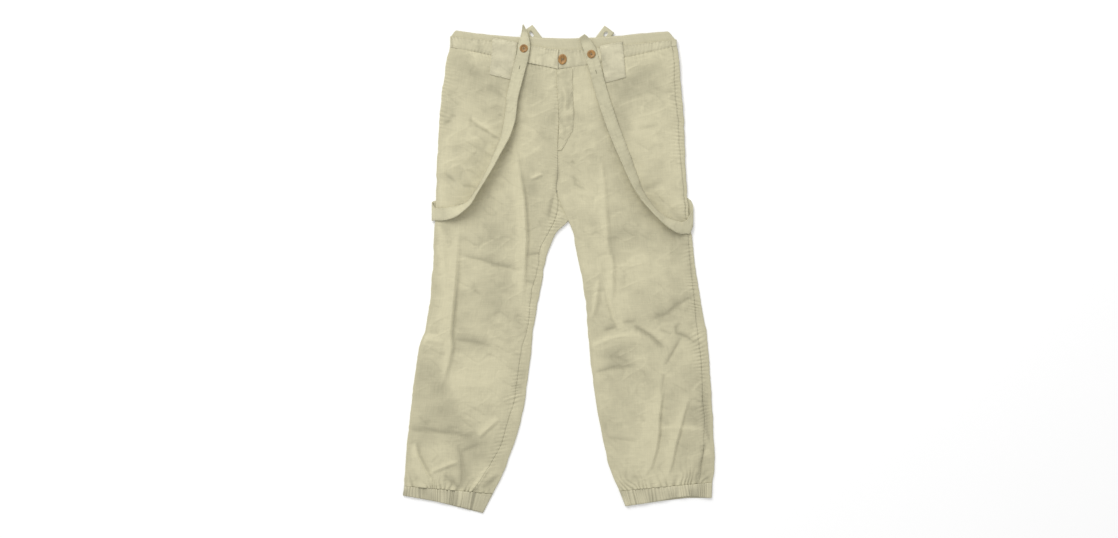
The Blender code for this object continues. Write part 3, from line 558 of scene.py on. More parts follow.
# Creases of the fly placket, in the same columns as those of the legs
PLACKET_CREASES = (
    (-0.0012, 0.0025, 0.004, 1.2, ((0.0270, 0.362), (0.0240, 0.345), (0.0190, 0.322))),
    (0.0009, 0.0030, 0.003, 1.3, ((0.0100, 0.372), (0.0150, 0.350), (0.0130, 0.318))),
    (-0.0008, 0.0030, 0.003, 1.3, ((0.0030, 0.300), (0.0120, 0.290), (0.0240, 0.294))),
    (-0.0009, 0.0030, 0.002, 1.2, ((0.0020, 0.268), (0.0120, 0.262))),
)

# Light of its own that keeps the floor white out to the corners
FLOOR_GLOW = 0.05
FLOOR_REACH = 6.0

# The softbox: place and side
KEY_PLACE = (-1.6, 3.05, 2.95)
KEY_SIZE = 2.6

# Finished grids, kept for the pieces that are laid or sewn on them
GRIDS = {}
def length_setting(label, description, default):
    """A setting in metres."""
    values = {"name": label, "description": description, "default": default}
    return bpy.props.FloatProperty(**values, min=0.0, unit="LENGTH")


def number_setting(label, description, default):
    """A setting without a unit."""
    return bpy.props.FloatProperty(name=label, description=description, default=default, min=0.0)


def colour_setting(label, description, default):
    """A colour, in linear red, green and blue."""
    values = {"name": label, "description": description, "default": default}
    return bpy.props.FloatVectorProperty(**values, subtype="COLOR")


class ClothSettings(bpy.types.PropertyGroup):
    """Sizes of the cloth and how strongly it is creased."""

    leg_wall: length_setting("Leg cloth", "Thickness of the legs' cloth", 0.0011)
    band_wall: length_setting("Waistband", "Thickness of the folded waistband", 0.0018)
    patch_wall: length_setting("Patches", "Thickness of the brace patches", 0.0011)
    brace_wall: length_setting("Braces", "Thickness of a brace", 0.0016)
    crease_depth: number_setting("Creases", "How strongly the creases stand up", 1.45)
    pucker_height: length_setting("Puckers", "Height of the small puckers along the seams", 0.00095)
    pucker_pitch: length_setting("Pucker spacing", "Distance from pucker to pucker", 0.0078)
    unevenness: length_setting("Unevenness", "Height of the broad unevenness", 0.0010)
    crumple: length_setting("Crumpling", "Height of the small sharp wrinkles", 0.0006)


class ColourSettings(bpy.types.PropertyGroup):
    """Colours of the cloth, thread, buttons and floor."""

    leg: colour_setting("Legs", "Colour of the legs' linen", (0.535, 0.499, 0.342))
    band: colour_setting("Waistband", "Colour of the waistband", (0.535, 0.500, 0.348))
    patch: colour_setting("Patches", "Colour of the patches", (0.555, 0.520, 0.370))
    cuff: colour_setting("Cuffs", "Colour of the cuffs", (0.505, 0.472, 0.332))
    brace: colour_setting("Braces", "Colour of the braces", (0.540, 0.508, 0.352))
    thread: colour_setting("Thread", "Colour of the sewing thread", (0.475, 0.438, 0.300))
    horn: colour_setting("Buttons", "Colour of the horn buttons", (0.36, 0.19, 0.055))
    floor: colour_setting("Floor", "Colour of the floor", (0.97, 0.97, 0.97))


class StageSettings(bpy.types.PropertyGroup):
    """Camera and light."""

    view_width: length_setting("View width", "Width of the floor that the picture shows", 2.292)
    camera_height: length_setting("Camera height", "Height of the camera over the floor", 5.0)
    key_power: number_setting("Key light", "Power of the large softbox in watts", 124.0)
    fill: number_setting("Fill", "Strength of the light from all round", 0.72)


def smooth(table, knots, at):
    """A smooth curve through the rows of a table, whose places along it are the knots (Hermite)."""
    table = np.asarray(table, dtype=float)
    slopes = np.gradient(table, knots, axis=0)
    first = np.clip(np.searchsorted(knots, at, side="right") - 1, 0, len(table) - 2)
    span = (knots[first + 1] - knots[first])[:, None]
    part = (at - knots[first])[:, None] / span
    value = (2 * part**3 - 3 * part**2 + 1) * table[first]
    value = value + (3 * part**2 - 2 * part**3) * table[first + 1]
    value += (part**3 - 2 * part**2 + part) * span * slopes[first]
    return value + (part**3 - part**2) * span * slopes[first + 1]


def ease(value):
    """0 below 0, 1 above 1, and a smooth step between."""
    value = np.clip(value, 0, 1)
    return value * value * (3 - 2 * value)


def blend(grid, i, j, a, b):
    """Values between the points of a grid, which wraps round: row i with the share a of the next
    row, column j with the share b of the next column."""
    rows, columns = grid.shape[:2]
    near = grid[i % rows, j % columns] * (1 - a) + grid[(i + 1) % rows, j % columns] * a
    far = grid[i % rows, (j + 1) % columns] * (1 - a) + grid[(i + 1) % rows, (j + 1) % columns] * a
    return near * (1 - b) + far * b


def noise(x, y, cell, seed):
    """Value noise from -1 to 1: random numbers on a square lattice of that cell, joined smoothly."""
    lattice = np.random.default_rng(seed).uniform(-1, 1, (256, 256))
    u, v = x / cell, y / cell
    i, j = np.floor(u).astype(int), np.floor(v).astype(int)
    return blend(lattice, i, j, ease(u - i), ease(v - j))


def crease(x, y, height, left, right, sharpness, points):
    """One crease: height * exp(-(d / w) ** sharpness) at distance d from the line through its
    points, with its own width w on each side, fading to nothing at both ends of the line. A steep
    side has a shallow groove at its foot, as where folded cloth overlaps: a bell curve."""
    points = np.asarray(points)
    steps = np.diff(points, axis=0)
    lengths = np.hypot(steps[:, 0], steps[:, 1])
    starts = np.concatenate(([0.0], np.cumsum(lengths)))
    nearest = np.full(x.shape, np.inf)
    side, along = np.zeros(x.shape), np.zeros(x.shape)
    for (px, py), (dx, dy), length, start in zip(points, steps, lengths, starts):
        share = np.clip(((x - px) * dx + (y - py) * dy) / length**2, 0, 1)
        ex, ey = x - px - share * dx, y - py - share * dy
        distance = np.hypot(ex, ey)
        nearer = distance < nearest
        nearest = np.where(nearer, distance, nearest)
        side = np.where(nearer, dx * ey - dy * ex, side)
        along = np.where(nearer, (start + share * length) / starts[-1], along)
    width = np.where(side > 0, left, right)
    shape = np.exp(-((nearest / width) ** sharpness))
    shape -= FOOT_DEPTH * (width < STEEP) * (height > 0) * np.exp(-((nearest / width - 1.9) ** 2))
    fade = 1.0 if max(left, right) > BROAD else 0.5
    return height * shape * np.sin(pi * along) ** fade


def creased(x, y, tables):
    """Sum of the creases in the tables, each worked out only near its own line."""
    total = np.zeros(x.shape)
    for table in tables:
        for height, left, right, sharpness, points in table:
            reach = 3.2 * max(left, right)
            low, high = np.min(points, axis=0) - reach, np.max(points, axis=0) + reach
            near = (x > low[0]) & (x < high[0]) & (y > low[1]) & (y < high[1])
            total[near] += crease(x[near], y[near], height, left, right, sharpness, points)
    return total


def puckers(distance, along, height, pitch, reach, seed):
    """Small rounded waves across a seam: |sin| of the uneven place along it, leaning a little,
    as exp(-(distance / reach)) away from it."""
    zero = np.zeros(along.shape)
    drift = noise(along, zero, 4 * pitch, seed)
    lean = noise(along, zero, 7 * pitch, seed + 1)
    strength = 0.6 + 0.4 * noise(along, zero, 3 * pitch, seed + 2)
    phase = along / pitch + 0.6 * drift + 0.5 * lean * distance / pitch
    return height * strength * (1.7 * np.abs(np.sin(pi * phase)) - 1) * np.exp(-np.abs(distance) / reach)


def uneven(x, y, height, seed):
    """Broad and small unevenness: four sizes of value noise, each lower than the one before."""
    total = noise(x, 0.8 * y, 0.060, seed) + 0.45 * noise(x, y, 0.027, seed + 1)
    total += 0.30 * noise(0.7 * x, y, 0.012, seed + 2) + 0.14 * noise(0.8 * x, y, 0.006, seed + 3)
    return height * total


def crumple(x, y, height, seed):
    """Small sharp wrinkles: bell curves along the lines on which two stretched noises are zero,
    in patches, some raised and some sunk."""
    total = np.zeros(x.shape)
    for k, (cell, stretch, lean, sign) in enumerate(CRUMPLES):
        wave = noise(x + lean * y, stretch * (y - lean * x), cell, seed + 5 * k)
        patches = ease(0.25 + 1.5 * noise(x, y, 0.8 * cell, seed + 5 * k + 1))
        total += sign * patches * np.exp(-((wave / 0.14) ** 2))
    return height * total


def underside(y):
    """Height of the underside of the back, lifted where it lies on the braces."""
    heights = np.asarray(UNDERSIDE)
    return np.interp(y, heights[:, 0], heights[:, 1])


def lengths(points, axis):
    """Distance along a grid from its first row or column."""
    steps = np.linalg.norm(np.diff(points, axis=axis), axis=-1)
    first = np.zeros_like(np.take(steps, [0], axis=axis))
    return np.concatenate((first, np.cumsum(steps, axis=axis)), axis=axis)


def normals(points):
    """Unit normals of a grid: the cross product of its column and row directions."""
    down, across = np.gradient(points, axis=0), np.gradient(points, axis=1)
    normal = np.cross(across, down)
    return normal / np.maximum(np.linalg.norm(normal, axis=-1, keepdims=True), 1e-12)


def shell_faces(outer, inner, step):
    """Corners of a closed shell from the index grids of its two faces: squares outside, squares
    step times as large inside, and a rim that joins their borders."""
    quads = np.stack((outer[:-1, :-1], outer[:-1, 1:], outer[1:, 1:], outer[1:, :-1]), axis=-1)
    back = np.stack((inner[:-1, :-1], inner[1:, :-1], inner[1:, 1:], inner[:-1, 1:]), axis=-1)
    rim = []
    borders = [(outer[0], inner[0]), (outer[-1, ::-1], inner[-1, ::-1])]
    if outer[0, 0] != outer[0, -1]:
        borders += [(outer[:, -1], inner[:, -1]), (outer[::-1, 0], inner[::-1, 0])]
    for edge, under in borders:
        count = len(under) - 1
        runs = [edge[k::step][:count] for k in range(step, -1, -1)]
        rim.append(np.stack((*runs, under[:-1], under[1:]), axis=-1))
    return quads.reshape(-1, 4), back.reshape(-1, 4), np.concatenate(rim)


def averaged(points):
    """A grid with each point moved to the middle of its neighbours in its row and its column."""
    points = points.copy()
    points[1:-1] = (points[:-2] + 2 * points[1:-1] + points[2:]) / 4
    points[:, 1:-1] = (points[:, :-2] + 2 * points[:, 1:-1] + points[:, 2:]) / 4
    return points


def around(heights, join):
    """Join every cell of a grid with its eight neighbours, as with the least or the greatest."""
    for axis in (0, 1):
        padded = np.pad(heights, [(1, 1) if k == axis else (0, 0) for k in (0, 1)], mode="edge")
        before, after = (np.delete(padded, places, axis) for places in ([-1, -2], [0, 1]))
        heights = join(join(before, heights), after)
    return heights


def new_mesh(name, points, faces, smooth_faces=True):
    """A mesh of points and faces; the last value says for all faces or for each if it is smooth."""
    mesh = bpy.data.meshes.new(name)
    mesh.from_pydata(np.asarray(points).reshape(-1, 3).tolist(), [], faces)
    flags = np.zeros(len(mesh.polygons), dtype=bool) | smooth_faces
    mesh.polygons.foreach_set("use_smooth", flags)
    mesh.update()
    return mesh


def shell_mesh(name, points, wall, grain, relief, flip, ring):
    """A closed cloth shell on a grid of points, rows by columns, its wall on the inner side. The
    grain becomes a UV map in metres and the relief an attribute; a ring's last column joins its
    first. The rim is flat shaded, so that the faces keep their own light up to the edge."""
    if (points.shape[0] - 1) % WALL_STEP or (points.shape[1] - 1 + ring) % WALL_STEP:
        raise ValueError(f"{name}: the grid {points.shape[:2]} doesn't divide by {WALL_STEP}")
    extended = np.concatenate((points, points[:, :1]), axis=1) if ring else points
    outward = normals(averaged(averaged(extended))) * (-1 if flip else 1)
    if ring:
        outward[:, 0] = outward[:, -1] = outward[:, 0] + outward[:, -1]
        outward /= np.linalg.norm(outward, axis=-1, keepdims=True)
    under = extended - wall * outward
    lowest = around(extended[..., 2], np.minimum) - 0.5 * wall
    facing_up = outward[..., 2] > 0.4
    under[..., 2] = np.where(facing_up, np.minimum(under[..., 2], lowest), under[..., 2])
    under = under[::WALL_STEP, ::WALL_STEP]
    under_grain = grain[::WALL_STEP, ::WALL_STEP]
    uv_outer = np.arange(extended[..., 0].size).reshape(extended.shape[:2])
    uv_inner = np.arange(under[..., 0].size).reshape(under.shape[:2]) + uv_outer.size
    if ring:
        under = under[:, :-1]
    outer = np.arange(points[..., 0].size).reshape(points.shape[:2])
    inner = np.arange(under[..., 0].size).reshape(under.shape[:2]) + outer.size
    if ring:
        outer, inner = (np.hstack((index, index[:, :1])) for index in (outer, inner))
    faces, corners = [], []
    order = slice(None, None, -1 if flip else 1)
    pairs = zip(shell_faces(outer, inner, WALL_STEP), shell_faces(uv_outer, uv_inner, WALL_STEP))
    for places, uv_places in pairs:
        faces += places[:, order].tolist()
        corners.append(uv_places[:, order].reshape(-1))
    smooth_faces = np.array([len(face) == 4 for face in faces])
    every_point = np.concatenate((points.reshape(-1, 3), under.reshape(-1, 3)))
    mesh = new_mesh(name, every_point, faces, smooth_faces)
    uv = np.concatenate((grain.reshape(-1, 2), under_grain.reshape(-1, 2)))[np.concatenate(corners)]
    mesh.uv_layers.new(name="grain").data.foreach_set("uv", uv.astype(np.float32).reshape(-1))
    values = np.zeros(len(mesh.vertices), dtype=np.float32)
    values[: points[..., 0].size] = relief.reshape(-1)
    mesh.attributes.new("relief", "FLOAT", "POINT").data.foreach_set("value", values)
    return mesh


def place_piece(name, mesh, material, replaced=()):
    """Put a finished piece in the scene: its material, its body and the nodes it stands for."""
    mesh.materials.append(material)
    item = bpy.data.objects.new(name, mesh)
    bpy.context.scene.collection.objects.link(item)
    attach(item, "root")
    if replaced:
        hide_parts(*replaced)
    return item


def grain_of(points):
    """Lengths across and down a grid, in metres, for the weave."""
    return np.stack((lengths(points, 1), lengths(points, 0)), axis=-1)


def cloth(node, points, material, wall, flip, relief, grain=None, ring=False):
    """A cloth sheet that stands for a CAD node."""
    name = node + "_cloth"
    if grain is None:
        grain = grain_of(points)
    mesh = shell_mesh(name, points, wall, grain, relief, flip, ring)
    item = place_piece(name, mesh, material, [node])
    GRIDS[node] = points
    return item


def puff(share):
    """How far the middle of a leg stands up over its edges: a flattened half wave."""
    return PUFF * np.sin(pi * np.clip(share, 0, 1)) ** 0.6


class Leg:
    """One leg as a flattened tube, in rows from its outer to its inner folded edge. Its stations
    down the leg are the rows of its tables; side is -1 for the right leg and 1 for the left."""

    def __init__(self, side, outer, inner, creases, seams, seed):
        gaps = [SEAM_GAP / 2 if row <= LAST_JOINED_ROW else FOLD_GAP for row in range(len(CENTRE_SEAM))]
        joined = [(x + side * gap, y) for (x, y), gap in zip(CENTRE_SEAM, gaps)]
        self.side = side
        self.outer = np.asarray(outer)
        self.inner = np.asarray(joined + list(inner))
        self.creases = creases
        self.seams = seams
        self.seed = seed

    def rows(self, places, back):
        """Outer points, unit directions to the inner edge, widths and seam distances of rows."""
        knots = np.arange(len(self.outer), dtype=float)
        outer = smooth(self.outer, knots, places)
        inner = smooth(self.inner, knots, places)
        seam = np.maximum(outer[:, 2], 0)
        joined = places <= LAST_JOINED_ROW
        seam[joined] = np.interp(places, knots, self.outer[:, 2])[joined]
        outer = outer[:, :2]
        if back:
            inner[:, 1] += np.interp(places, range(len(BACK_RISE)), BACK_RISE)
        y, zero = outer[:, 1], 0 * outer[:, 1]
        uneven_edge = 0.0009 * noise(y, zero, 0.016, self.seed)
        outer[:, 0] += uneven_edge + 0.0004 * noise(y, zero, 0.006, self.seed + 1)
        below_crotch = ease((places - len(CENTRE_SEAM) + 1) / 2)
        inner[:, 0] += below_crotch * (0.0009 * noise(y, zero, 0.014, self.seed + 2))
        width = np.linalg.norm(inner - outer, axis=1)
        return outer, (inner - outer) / width[:, None], width, seam

    def top(self, x, y, share, cuff_distance):
        """Height of the front's outer face and its relief: the layers, a soft puff, the creases,
        the gathers above the cuff and unevenness, flat at both folded edges."""
        settings = bpy.context.scene.trouser_cloth
        inward = ease(np.minimum(share, 1 - share) / EDGE_FADE)
        relief = settings.crease_depth * creased(x, y, self.creases)
        relief += uneven(x, y, settings.unevenness, self.seed + 10)
        relief += crumple(x, y, settings.crumple, self.seed + 64)
        relief += self.gathers(share, cuff_distance)
        raised = puff(share) * (1 - 0.7 * np.exp(-cuff_distance / 0.012))
        body = np.maximum(raised + relief, -DEEPEST) * inward
        if self.side < 0:
            centre_x, centre_y, radius, depth = CROTCH_RECESS
            near = np.exp(-((x - centre_x) ** 2 + (y - centre_y) ** 2) / radius**2)
            body -= depth * near * ease((share - 0.8) / 0.1)
        return underside(y) + EDGE_HEIGHT + body, relief * inward

    def gathers(self, share, cuff_distance):
        """Gathers above the cuff: |sin| of an uneven place across, which leans outward, times
        exp(-(distance / reach)) with an uneven reach."""
        place, zero = GATHERS * share, 0 * share
        spread_out = place + 1.6 * noise(place, zero, 2.3, self.seed + 5)
        spread_out += 0.8 * noise(place, 120 * cuff_distance, 2.0, self.seed + 6)
        reach = GATHER_REACH + 0.009 * noise(place, zero, 3.1, self.seed + 7)
        lean = 6 * (share - 0.5) * cuff_distance / 0.05
        waves = 1.6 * np.abs(np.sin(pi * (spread_out - lean) / GATHER_STEPS)) - 0.9
        return GATHER_HEIGHT * np.exp(-cuff_distance / reach) * waves

    def lay(self, places, distance, level, back):
        """Points and relief of a panel from distances inward and levels, +1 the top and -1 the
        underside; between them the cloth turns round the edge."""
        outer, along, width, _ = self.rows(places, back)
        plan = outer[:, None] + distance[..., None] * along[:, None]
        if back:
            front_along = self.rows(places, False)[1]
            front_plan = outer[:, None] + distance[..., None] * front_along[:, None]
            plan = np.where(level[..., None] > 0, front_plan, plan)
        x, y = plan[..., 0], plan[..., 1]
        run = np.concatenate(([0.0], np.cumsum(np.hypot(*np.diff(outer, axis=0).T))))
        share = distance / width[:, None]
        high, relief = self.top(x, y, share, (run[-1] - run)[:, None] + 0 * x)
        low = underside(y)
        hidden = 0.0005 * (1 + noise(x, y, 0.05, self.seed + 20)) * ease(np.minimum(share, 1 - share) / 0.1)
        low = low + hidden * (level < 0)
        height = (low + high) / 2 + level * (high - low) / 2
        return np.dstack((plan, height)), np.where(level > 0, relief, 0), run


def half_turn(count):
    """Round a folded edge from the top to the underside: how far inward, and the level."""
    angle = np.linspace(pi / 2, -pi / 2, count)
    return EDGE_RADIUS * (1 - np.cos(angle)), np.sin(angle)


def across(start, end, count):
    """Evenly spread distances from start to end in every row."""
    return start[:, None] + (end - start)[:, None] * np.linspace(0, 1, count)


def panel_places():
    """Rows of a panel, in stations down the leg: finer over the hips, where the puckers are."""
    return np.concatenate((np.linspace(0, 5, 136, endpoint=False), np.linspace(5, 22, 465)))


def front_paths(leg, places, tucked_edge):
    """Distances and levels of a front: it turns under at one edge and ends at a seam at the other.
    Above the crotch the columns of the turn lie flat, pressed together at the centre seam."""
    _, _, width, seam = leg.rows(places, back=False)
    zero = np.zeros_like(width)
    inward, level = half_turn(TURN_COLUMNS)
    if tucked_edge == "outer":
        under = across(zero + OUTSEAM_TUCK, zero + EDGE_RADIUS, 4)[:, :-1]
        turned = np.repeat(inward[::-1][None], len(places), axis=0)
        top = across(zero + EDGE_RADIUS, width - seam, TOP_COLUMNS)[:, 1:]
        levels = np.concatenate((-np.ones(3), level[::-1], np.ones(TOP_COLUMNS - 1)))
        return np.hstack((under, turned, top)), np.repeat(levels[None], len(places), axis=0)
    top = across(seam + SEAM_GAP / 2, width - EDGE_RADIUS, TOP_COLUMNS)
    turned = width[:, None] - inward[None, 1:]
    under = across(width - EDGE_RADIUS, width - INSEAM_TUCK, 4)[:, 1:]
    folded = np.hstack((top, turned, under))
    levels = np.concatenate((np.ones(TOP_COLUMNS), level[1:], -np.ones(3)))[None]
    pressed = across(width - EDGE_RADIUS, width, folded.shape[1] - TOP_COLUMNS + 1)[:, 1:]
    flat = np.hstack((top, pressed))
    share = ease((places - LAST_JOINED_ROW) / CROTCH_ROWS)[:, None]
    return flat + share * (folded - flat), 1 + share * (levels - 1)


def back_paths(leg, places, wrapped_edge):
    """Distances and levels of a back: it wraps round one edge up to the seam on the top."""
    _, _, width, seam = leg.rows(places, back=True)
    zero = np.zeros_like(width)
    inward, level = half_turn(TURN_COLUMNS)
    share = ease((places - LAST_JOINED_ROW) / CROTCH_ROWS)[:, None]
    if wrapped_edge == "inner":
        under = across(zero + OUTSEAM_TUCK + SEAM_GAP, width - EDGE_RADIUS, UNDER_COLUMNS)
        turned = width[:, None] - inward[::-1][None, 1:]
        end = width - np.maximum(seam - SEAM_GAP, EDGE_RADIUS + 0.0004)
        top = across(width - EDGE_RADIUS, end, WRAP_COLUMNS)[:, 1:]
        folded = np.hstack((under, turned, top))
        levels = np.concatenate((-np.ones(UNDER_COLUMNS), level[::-1][1:], np.ones(WRAP_COLUMNS - 1)))[None]
        pressed = across(width - EDGE_RADIUS, width, folded.shape[1] - UNDER_COLUMNS + 1)[:, 1:]
        flat = np.hstack((under, pressed))
        return flat + share * (folded - flat), -1 + share * (levels + 1)
    top = across(seam - SEAM_GAP / 2, zero + EDGE_RADIUS, WRAP_COLUMNS)[:, :-1]
    turned = np.repeat(inward[None], len(places), axis=0)
    end = width - share[:, 0] * (INSEAM_TUCK + SEAM_GAP)
    under = across(zero + EDGE_RADIUS, end, UNDER_COLUMNS)[:, 1:]
    levels = np.concatenate((np.ones(WRAP_COLUMNS - 1), level, -np.ones(UNDER_COLUMNS - 1)))[None]
    return np.hstack((top, turned, under)), np.repeat(levels, len(places), axis=0)


def waist_bow(x, places):
    """How far the front's waist seam dips below a straight row, fading in two rows: a parabola."""
    share = np.clip(x / OUTER_LEFT[0][0], 0, 1)
    return -4 * WAIST_BOW * share * (1 - share) * np.maximum(0.0, 1 - places / 2)


def waist_seam(x, rise=0.0):
    """Height up the body of the straight waist seam at x; the back rises at the centre."""
    middle = CENTRE_SEAM[0][1] + rise
    outer_right, outer_left = OUTER_RIGHT[0], OUTER_LEFT[0]
    return np.interp(x, (outer_right[0], 0.0, outer_left[0]), (outer_right[1], middle, outer_left[1]))


def seam_dip(distance):
    """The groove of a seam: a third of a millimetre deep and four wide, a bell curve."""
    return -0.00035 * np.exp(-((distance / 0.0022) ** 2))


def sew_panel(leg, points, relief, distance, level, width, seam, run, back):
    """Add the puckers and grooves of a panel's seams to its top."""
    settings = bpy.context.scene.trouser_cloth
    height, pitch = settings.pucker_height, settings.pucker_pitch
    along = run[:, None] + 0 * distance
    on_top = np.clip(level, 0, 1)
    width, seam = width[:, None], seam[:, None]
    away = {"outer": distance, "inner": width - distance}
    away["seam"] = away["inner"] - seam if leg.side < 0 else distance - seam
    change = seam_dip(away["seam"])
    for k, (edge, reach, strengths) in enumerate(leg.seams):
        strengths = np.array(strengths)[::-1]
        strength = np.interp(points[..., 1], strengths[:, 0], strengths[:, 1])
        change += strength * puckers(away[edge], along, height, pitch, reach, leg.seed + 30 + 4 * k)
    if leg.side > 0:
        change += seam_dip(away["inner"]) * (1 - ease((along - 0.25) / 0.03))
    if not back:
        change += puckers(along, points[..., 0], height, pitch, 0.009, WAIST_SEED) + 0.6 * seam_dip(along)
        middle, spread, reach, depth = CROTCH_PULL
        down = np.exp(-(((points[..., 1] - middle) / spread) ** 2))
        change -= depth * down * np.exp(-((away["inner"] / reach) ** 2))
        points[..., 2] -= on_top * puff(distance / width) * 0.6 * np.exp(-along / 0.012)
    points[..., 2] += on_top * change
    return points, relief + on_top * change


def make_panel(name, leg, edge, back, material):
    """One leg panel: its paths laid on the leg, creased, sewn and given its wall."""
    places = panel_places()
    paths = back_paths if back else front_paths
    distance, level = paths(leg, places, edge)
    _, _, width, seam = leg.rows(places, back)
    points, relief, run = leg.lay(places, distance, level, back)
    if not back:
        points[..., 1] += waist_bow(points[..., 0], places[:, None])
    points, relief = sew_panel(leg, points, relief, distance, level, width, seam, run, back)
    grain = np.stack((distance + 0 * points[..., 0], run[:, None] + 0 * distance), axis=-1)
    wall = bpy.context.scene.trouser_cloth.leg_wall
    flip = (leg.side < 0) != back
    return cloth(name, points, material, wall, flip, relief, grain)


def legs():
    """The right and the left leg, from their tables."""
    right_creases = (HIP_RIGHT_CREASES, LEG_RIGHT_CREASES)
    left_creases = (HIP_LEFT_CREASES, LEG_LEFT_CREASES)
    right = Leg(-1, OUTER_RIGHT, INNER_RIGHT, right_creases, RIGHT_SEAMS, seed=100)
    left = Leg(1, OUTER_LEFT, INNER_LEFT, left_creases, LEFT_SEAMS, seed=200)
    return right, left


class HeightMap:
    """The garment's upper face: the highest cloth in each small square cell, widened by one cell
    and then evened out, read by straight lines between the cells."""

    def __init__(self, names, cell=0.003):
        self.cell = cell
        self.corner = np.array((-0.36, -0.54))
        heights = np.zeros((240, 360))
        for name in names:
            points = GRIDS[name].reshape(-1, 3)
            i, j = np.round((points[:, :2] - self.corner) / cell).astype(int).T
            np.maximum.at(heights, (i, j), points[:, 2])
        self.even = around(around(heights, np.maximum), np.add) / 9

    def at(self, x, y):
        """Height over each place."""
        u, v = (x - self.corner[0]) / self.cell, (y - self.corner[1]) / self.cell
        i, j = np.floor(u).astype(int), np.floor(v).astype(int)
        return blend(self.even, i, j, u - i, v - j)


def needs(*names):
    """The grids that a later piece lies on; an error says which are missing."""
    missing = [name for name in names if name not in GRIDS]
    if missing:
        raise RuntimeError(f"make these pieces first: {', '.join(missing)}")
    return names


def stitch_dip(distance, inset=0.0024):
    """The shallow groove that a row of stitches pulls in, a bell curve at its distance in."""
    return -0.0004 * np.exp(-(((distance - inset) / 0.0013) ** 2))


def rolled_edge(distance):
    """How far a folded cloth edge rounds down: a bell curve on the distance from the edge."""
    return -0.0004 * np.exp(-((distance / 0.0016) ** 2))


def front_band(name, x_outer, x_inner, seed, material):
    """Half of the front waistband: straight rows between the waist seam and the band's upper edge,
    puckered along both stitched edges."""
    settings = bpy.context.scene.trouser_cloth
    table = np.asarray(BAND_EDGES)
    x = np.linspace(x_outer, x_inner, 141)
    low = waist_seam(x) + waist_bow(x, 0) - SEAM_GAP
    high = smooth(table, table[:, 0], x)[:, 1] + 0.0006 * noise(x, 0 * x, 0.015, seed)
    share = np.linspace(0, 1, 27)[:, None]
    y = low + share * (high - low)
    x = x + 0 * y
    from_low, from_high = y - low, high - y
    relief = puckers(from_low, x, settings.pucker_height, settings.pucker_pitch, 0.008, WAIST_SEED)
    height, pitch = 1.5 * settings.pucker_height, settings.pucker_pitch * 0.9
    relief += puckers(from_high, x, height, pitch, 0.008, seed + 4)
    relief += 0.0008 * noise(x, 0.4 * y, 0.010, seed + 8) + 0.0007 * noise(x, y, 0.04, seed + 9)
    relief += 1.3 * crumple(y, x, settings.crumple, seed + 12) * ease(from_low / 0.006)
    relief += 0.6 * seam_dip(from_low) + 0.0004 * np.sin(pi * share) + 0.5 * stitch_dip(from_low)
    relief += stitch_dip(from_high)
    z = BAND_TOP + np.clip(relief, *BAND_RELIEF) + rolled_edge(from_high)
    z = z + rolled_edge(np.abs(x - x_inner))
    wall, flip = settings.band_wall, x_outer > x_inner
    points = np.dstack((x, y, z))
    cloth(name, points, material, wall, flip, relief)


def back_band(material):
    """The back waistband, one strip that wraps round both sides onto the front: half circles at the
    sides, with painted shade on its inner face that deepens towards them."""
    settings = bpy.context.scene.trouser_cloth
    table = np.asarray(BAND_EDGES)
    right, left = table[0, 0], table[-1, 0]
    radius, middle = (BAND_TOP - BAND_UNDER) / 2, (BAND_TOP + BAND_UNDER) / 2
    turn = np.linspace(pi / 2, -pi / 2, 10)
    front_right = np.linspace(right + BAND_SEAM_RIGHT - SEAM_GAP, right + radius, 3)[:-1]
    front_left = np.linspace(left - radius, left - BAND_SEAM_LEFT + SEAM_GAP, 5)[1:]
    behind = np.linspace(right + radius, left - radius, 241)[1:-1]
    inward, rise = radius * (1 - np.cos(turn)), middle + radius * np.sin(turn)
    x = np.concatenate((front_right, right + inward, behind, left - inward[::-1], front_left))
    height = np.concatenate((
        0 * front_right + BAND_TOP, rise, 0 * behind + BAND_UNDER, rise[::-1], 0 * front_left + BAND_TOP,
    ))
    inside = (height < middle) * ease(np.minimum((x - right) / 0.013, (left - x) / 0.020))
    low = waist_seam(x) + inside * (waist_seam(x, BACK_RISE[0]) - waist_seam(x)) + SEAM_GAP
    high_front, high_back = (smooth(table, table[:, 0], np.clip(x, right, left))[:, k] for k in (1, 2))
    high = high_front + inside * (high_back - high_front) + 0.0006 * noise(x, 0 * x, 0.012, 301)
    share = np.linspace(0, 1, 19)[:, None]
    y = low + share * (high - low)
    x = x + 0 * y
    relief = puckers(high - y, x, settings.pucker_height, settings.pucker_pitch * 0.9, 0.006, 304)
    relief += 0.0004 * noise(x, 0.4 * y, 0.010, 308)
    points = np.dstack((x, y, height + np.clip(relief, *SMALL_RELIEF)))
    # Painted shade: the relief of the inner face is lowered towards both sides, so the material paints it
    # darker there
    relief_with_painted_shade = relief - 0.0013 * (height < middle) * ease((np.abs(x) - 0.02) / 0.12)
    under, wall = ["brace_right", "brace_left"], settings.band_wall
    cloth("waistband_back", points, material, wall, True, relief_with_painted_shade)


def laid_piece(name, plan, names, wall, material, flip, edges, seed, creases=()):
    """A flat piece sewn on: its outer face is the cloth's own height moved out by its wall, rounded
    down and puckered at its stitched edges; edges holds each point's distance from them."""
    settings = bpy.context.scene.trouser_cloth
    x, y = plan[..., 0], plan[..., 1]
    along = lengths(plan, 0) + lengths(plan, 1)
    relief = puckers(edges, along, 0.85 * settings.pucker_height, 0.85 * settings.pucker_pitch, 0.007, seed)
    relief += 0.0006 * noise(x, y, 0.016, seed + 3) + 0.0004 * noise(x, y, 0.007, seed + 4)
    relief += 1.1 * crumple(x, y, settings.crumple, seed + 10)
    relief += settings.crease_depth * creased(x, y, (creases,)) + stitch_dip(edges)
    lowest = underside(y) + EDGE_HEIGHT - 0.001
    base = np.maximum(HeightMap(needs(*names)).at(x, y), lowest) + SEAM_GAP + wall
    z = base + np.clip(relief, *PATCH_RELIEF) + rolled_edge(edges)
    cloth(name, np.dstack((x, y, z)), material, wall, flip, relief)


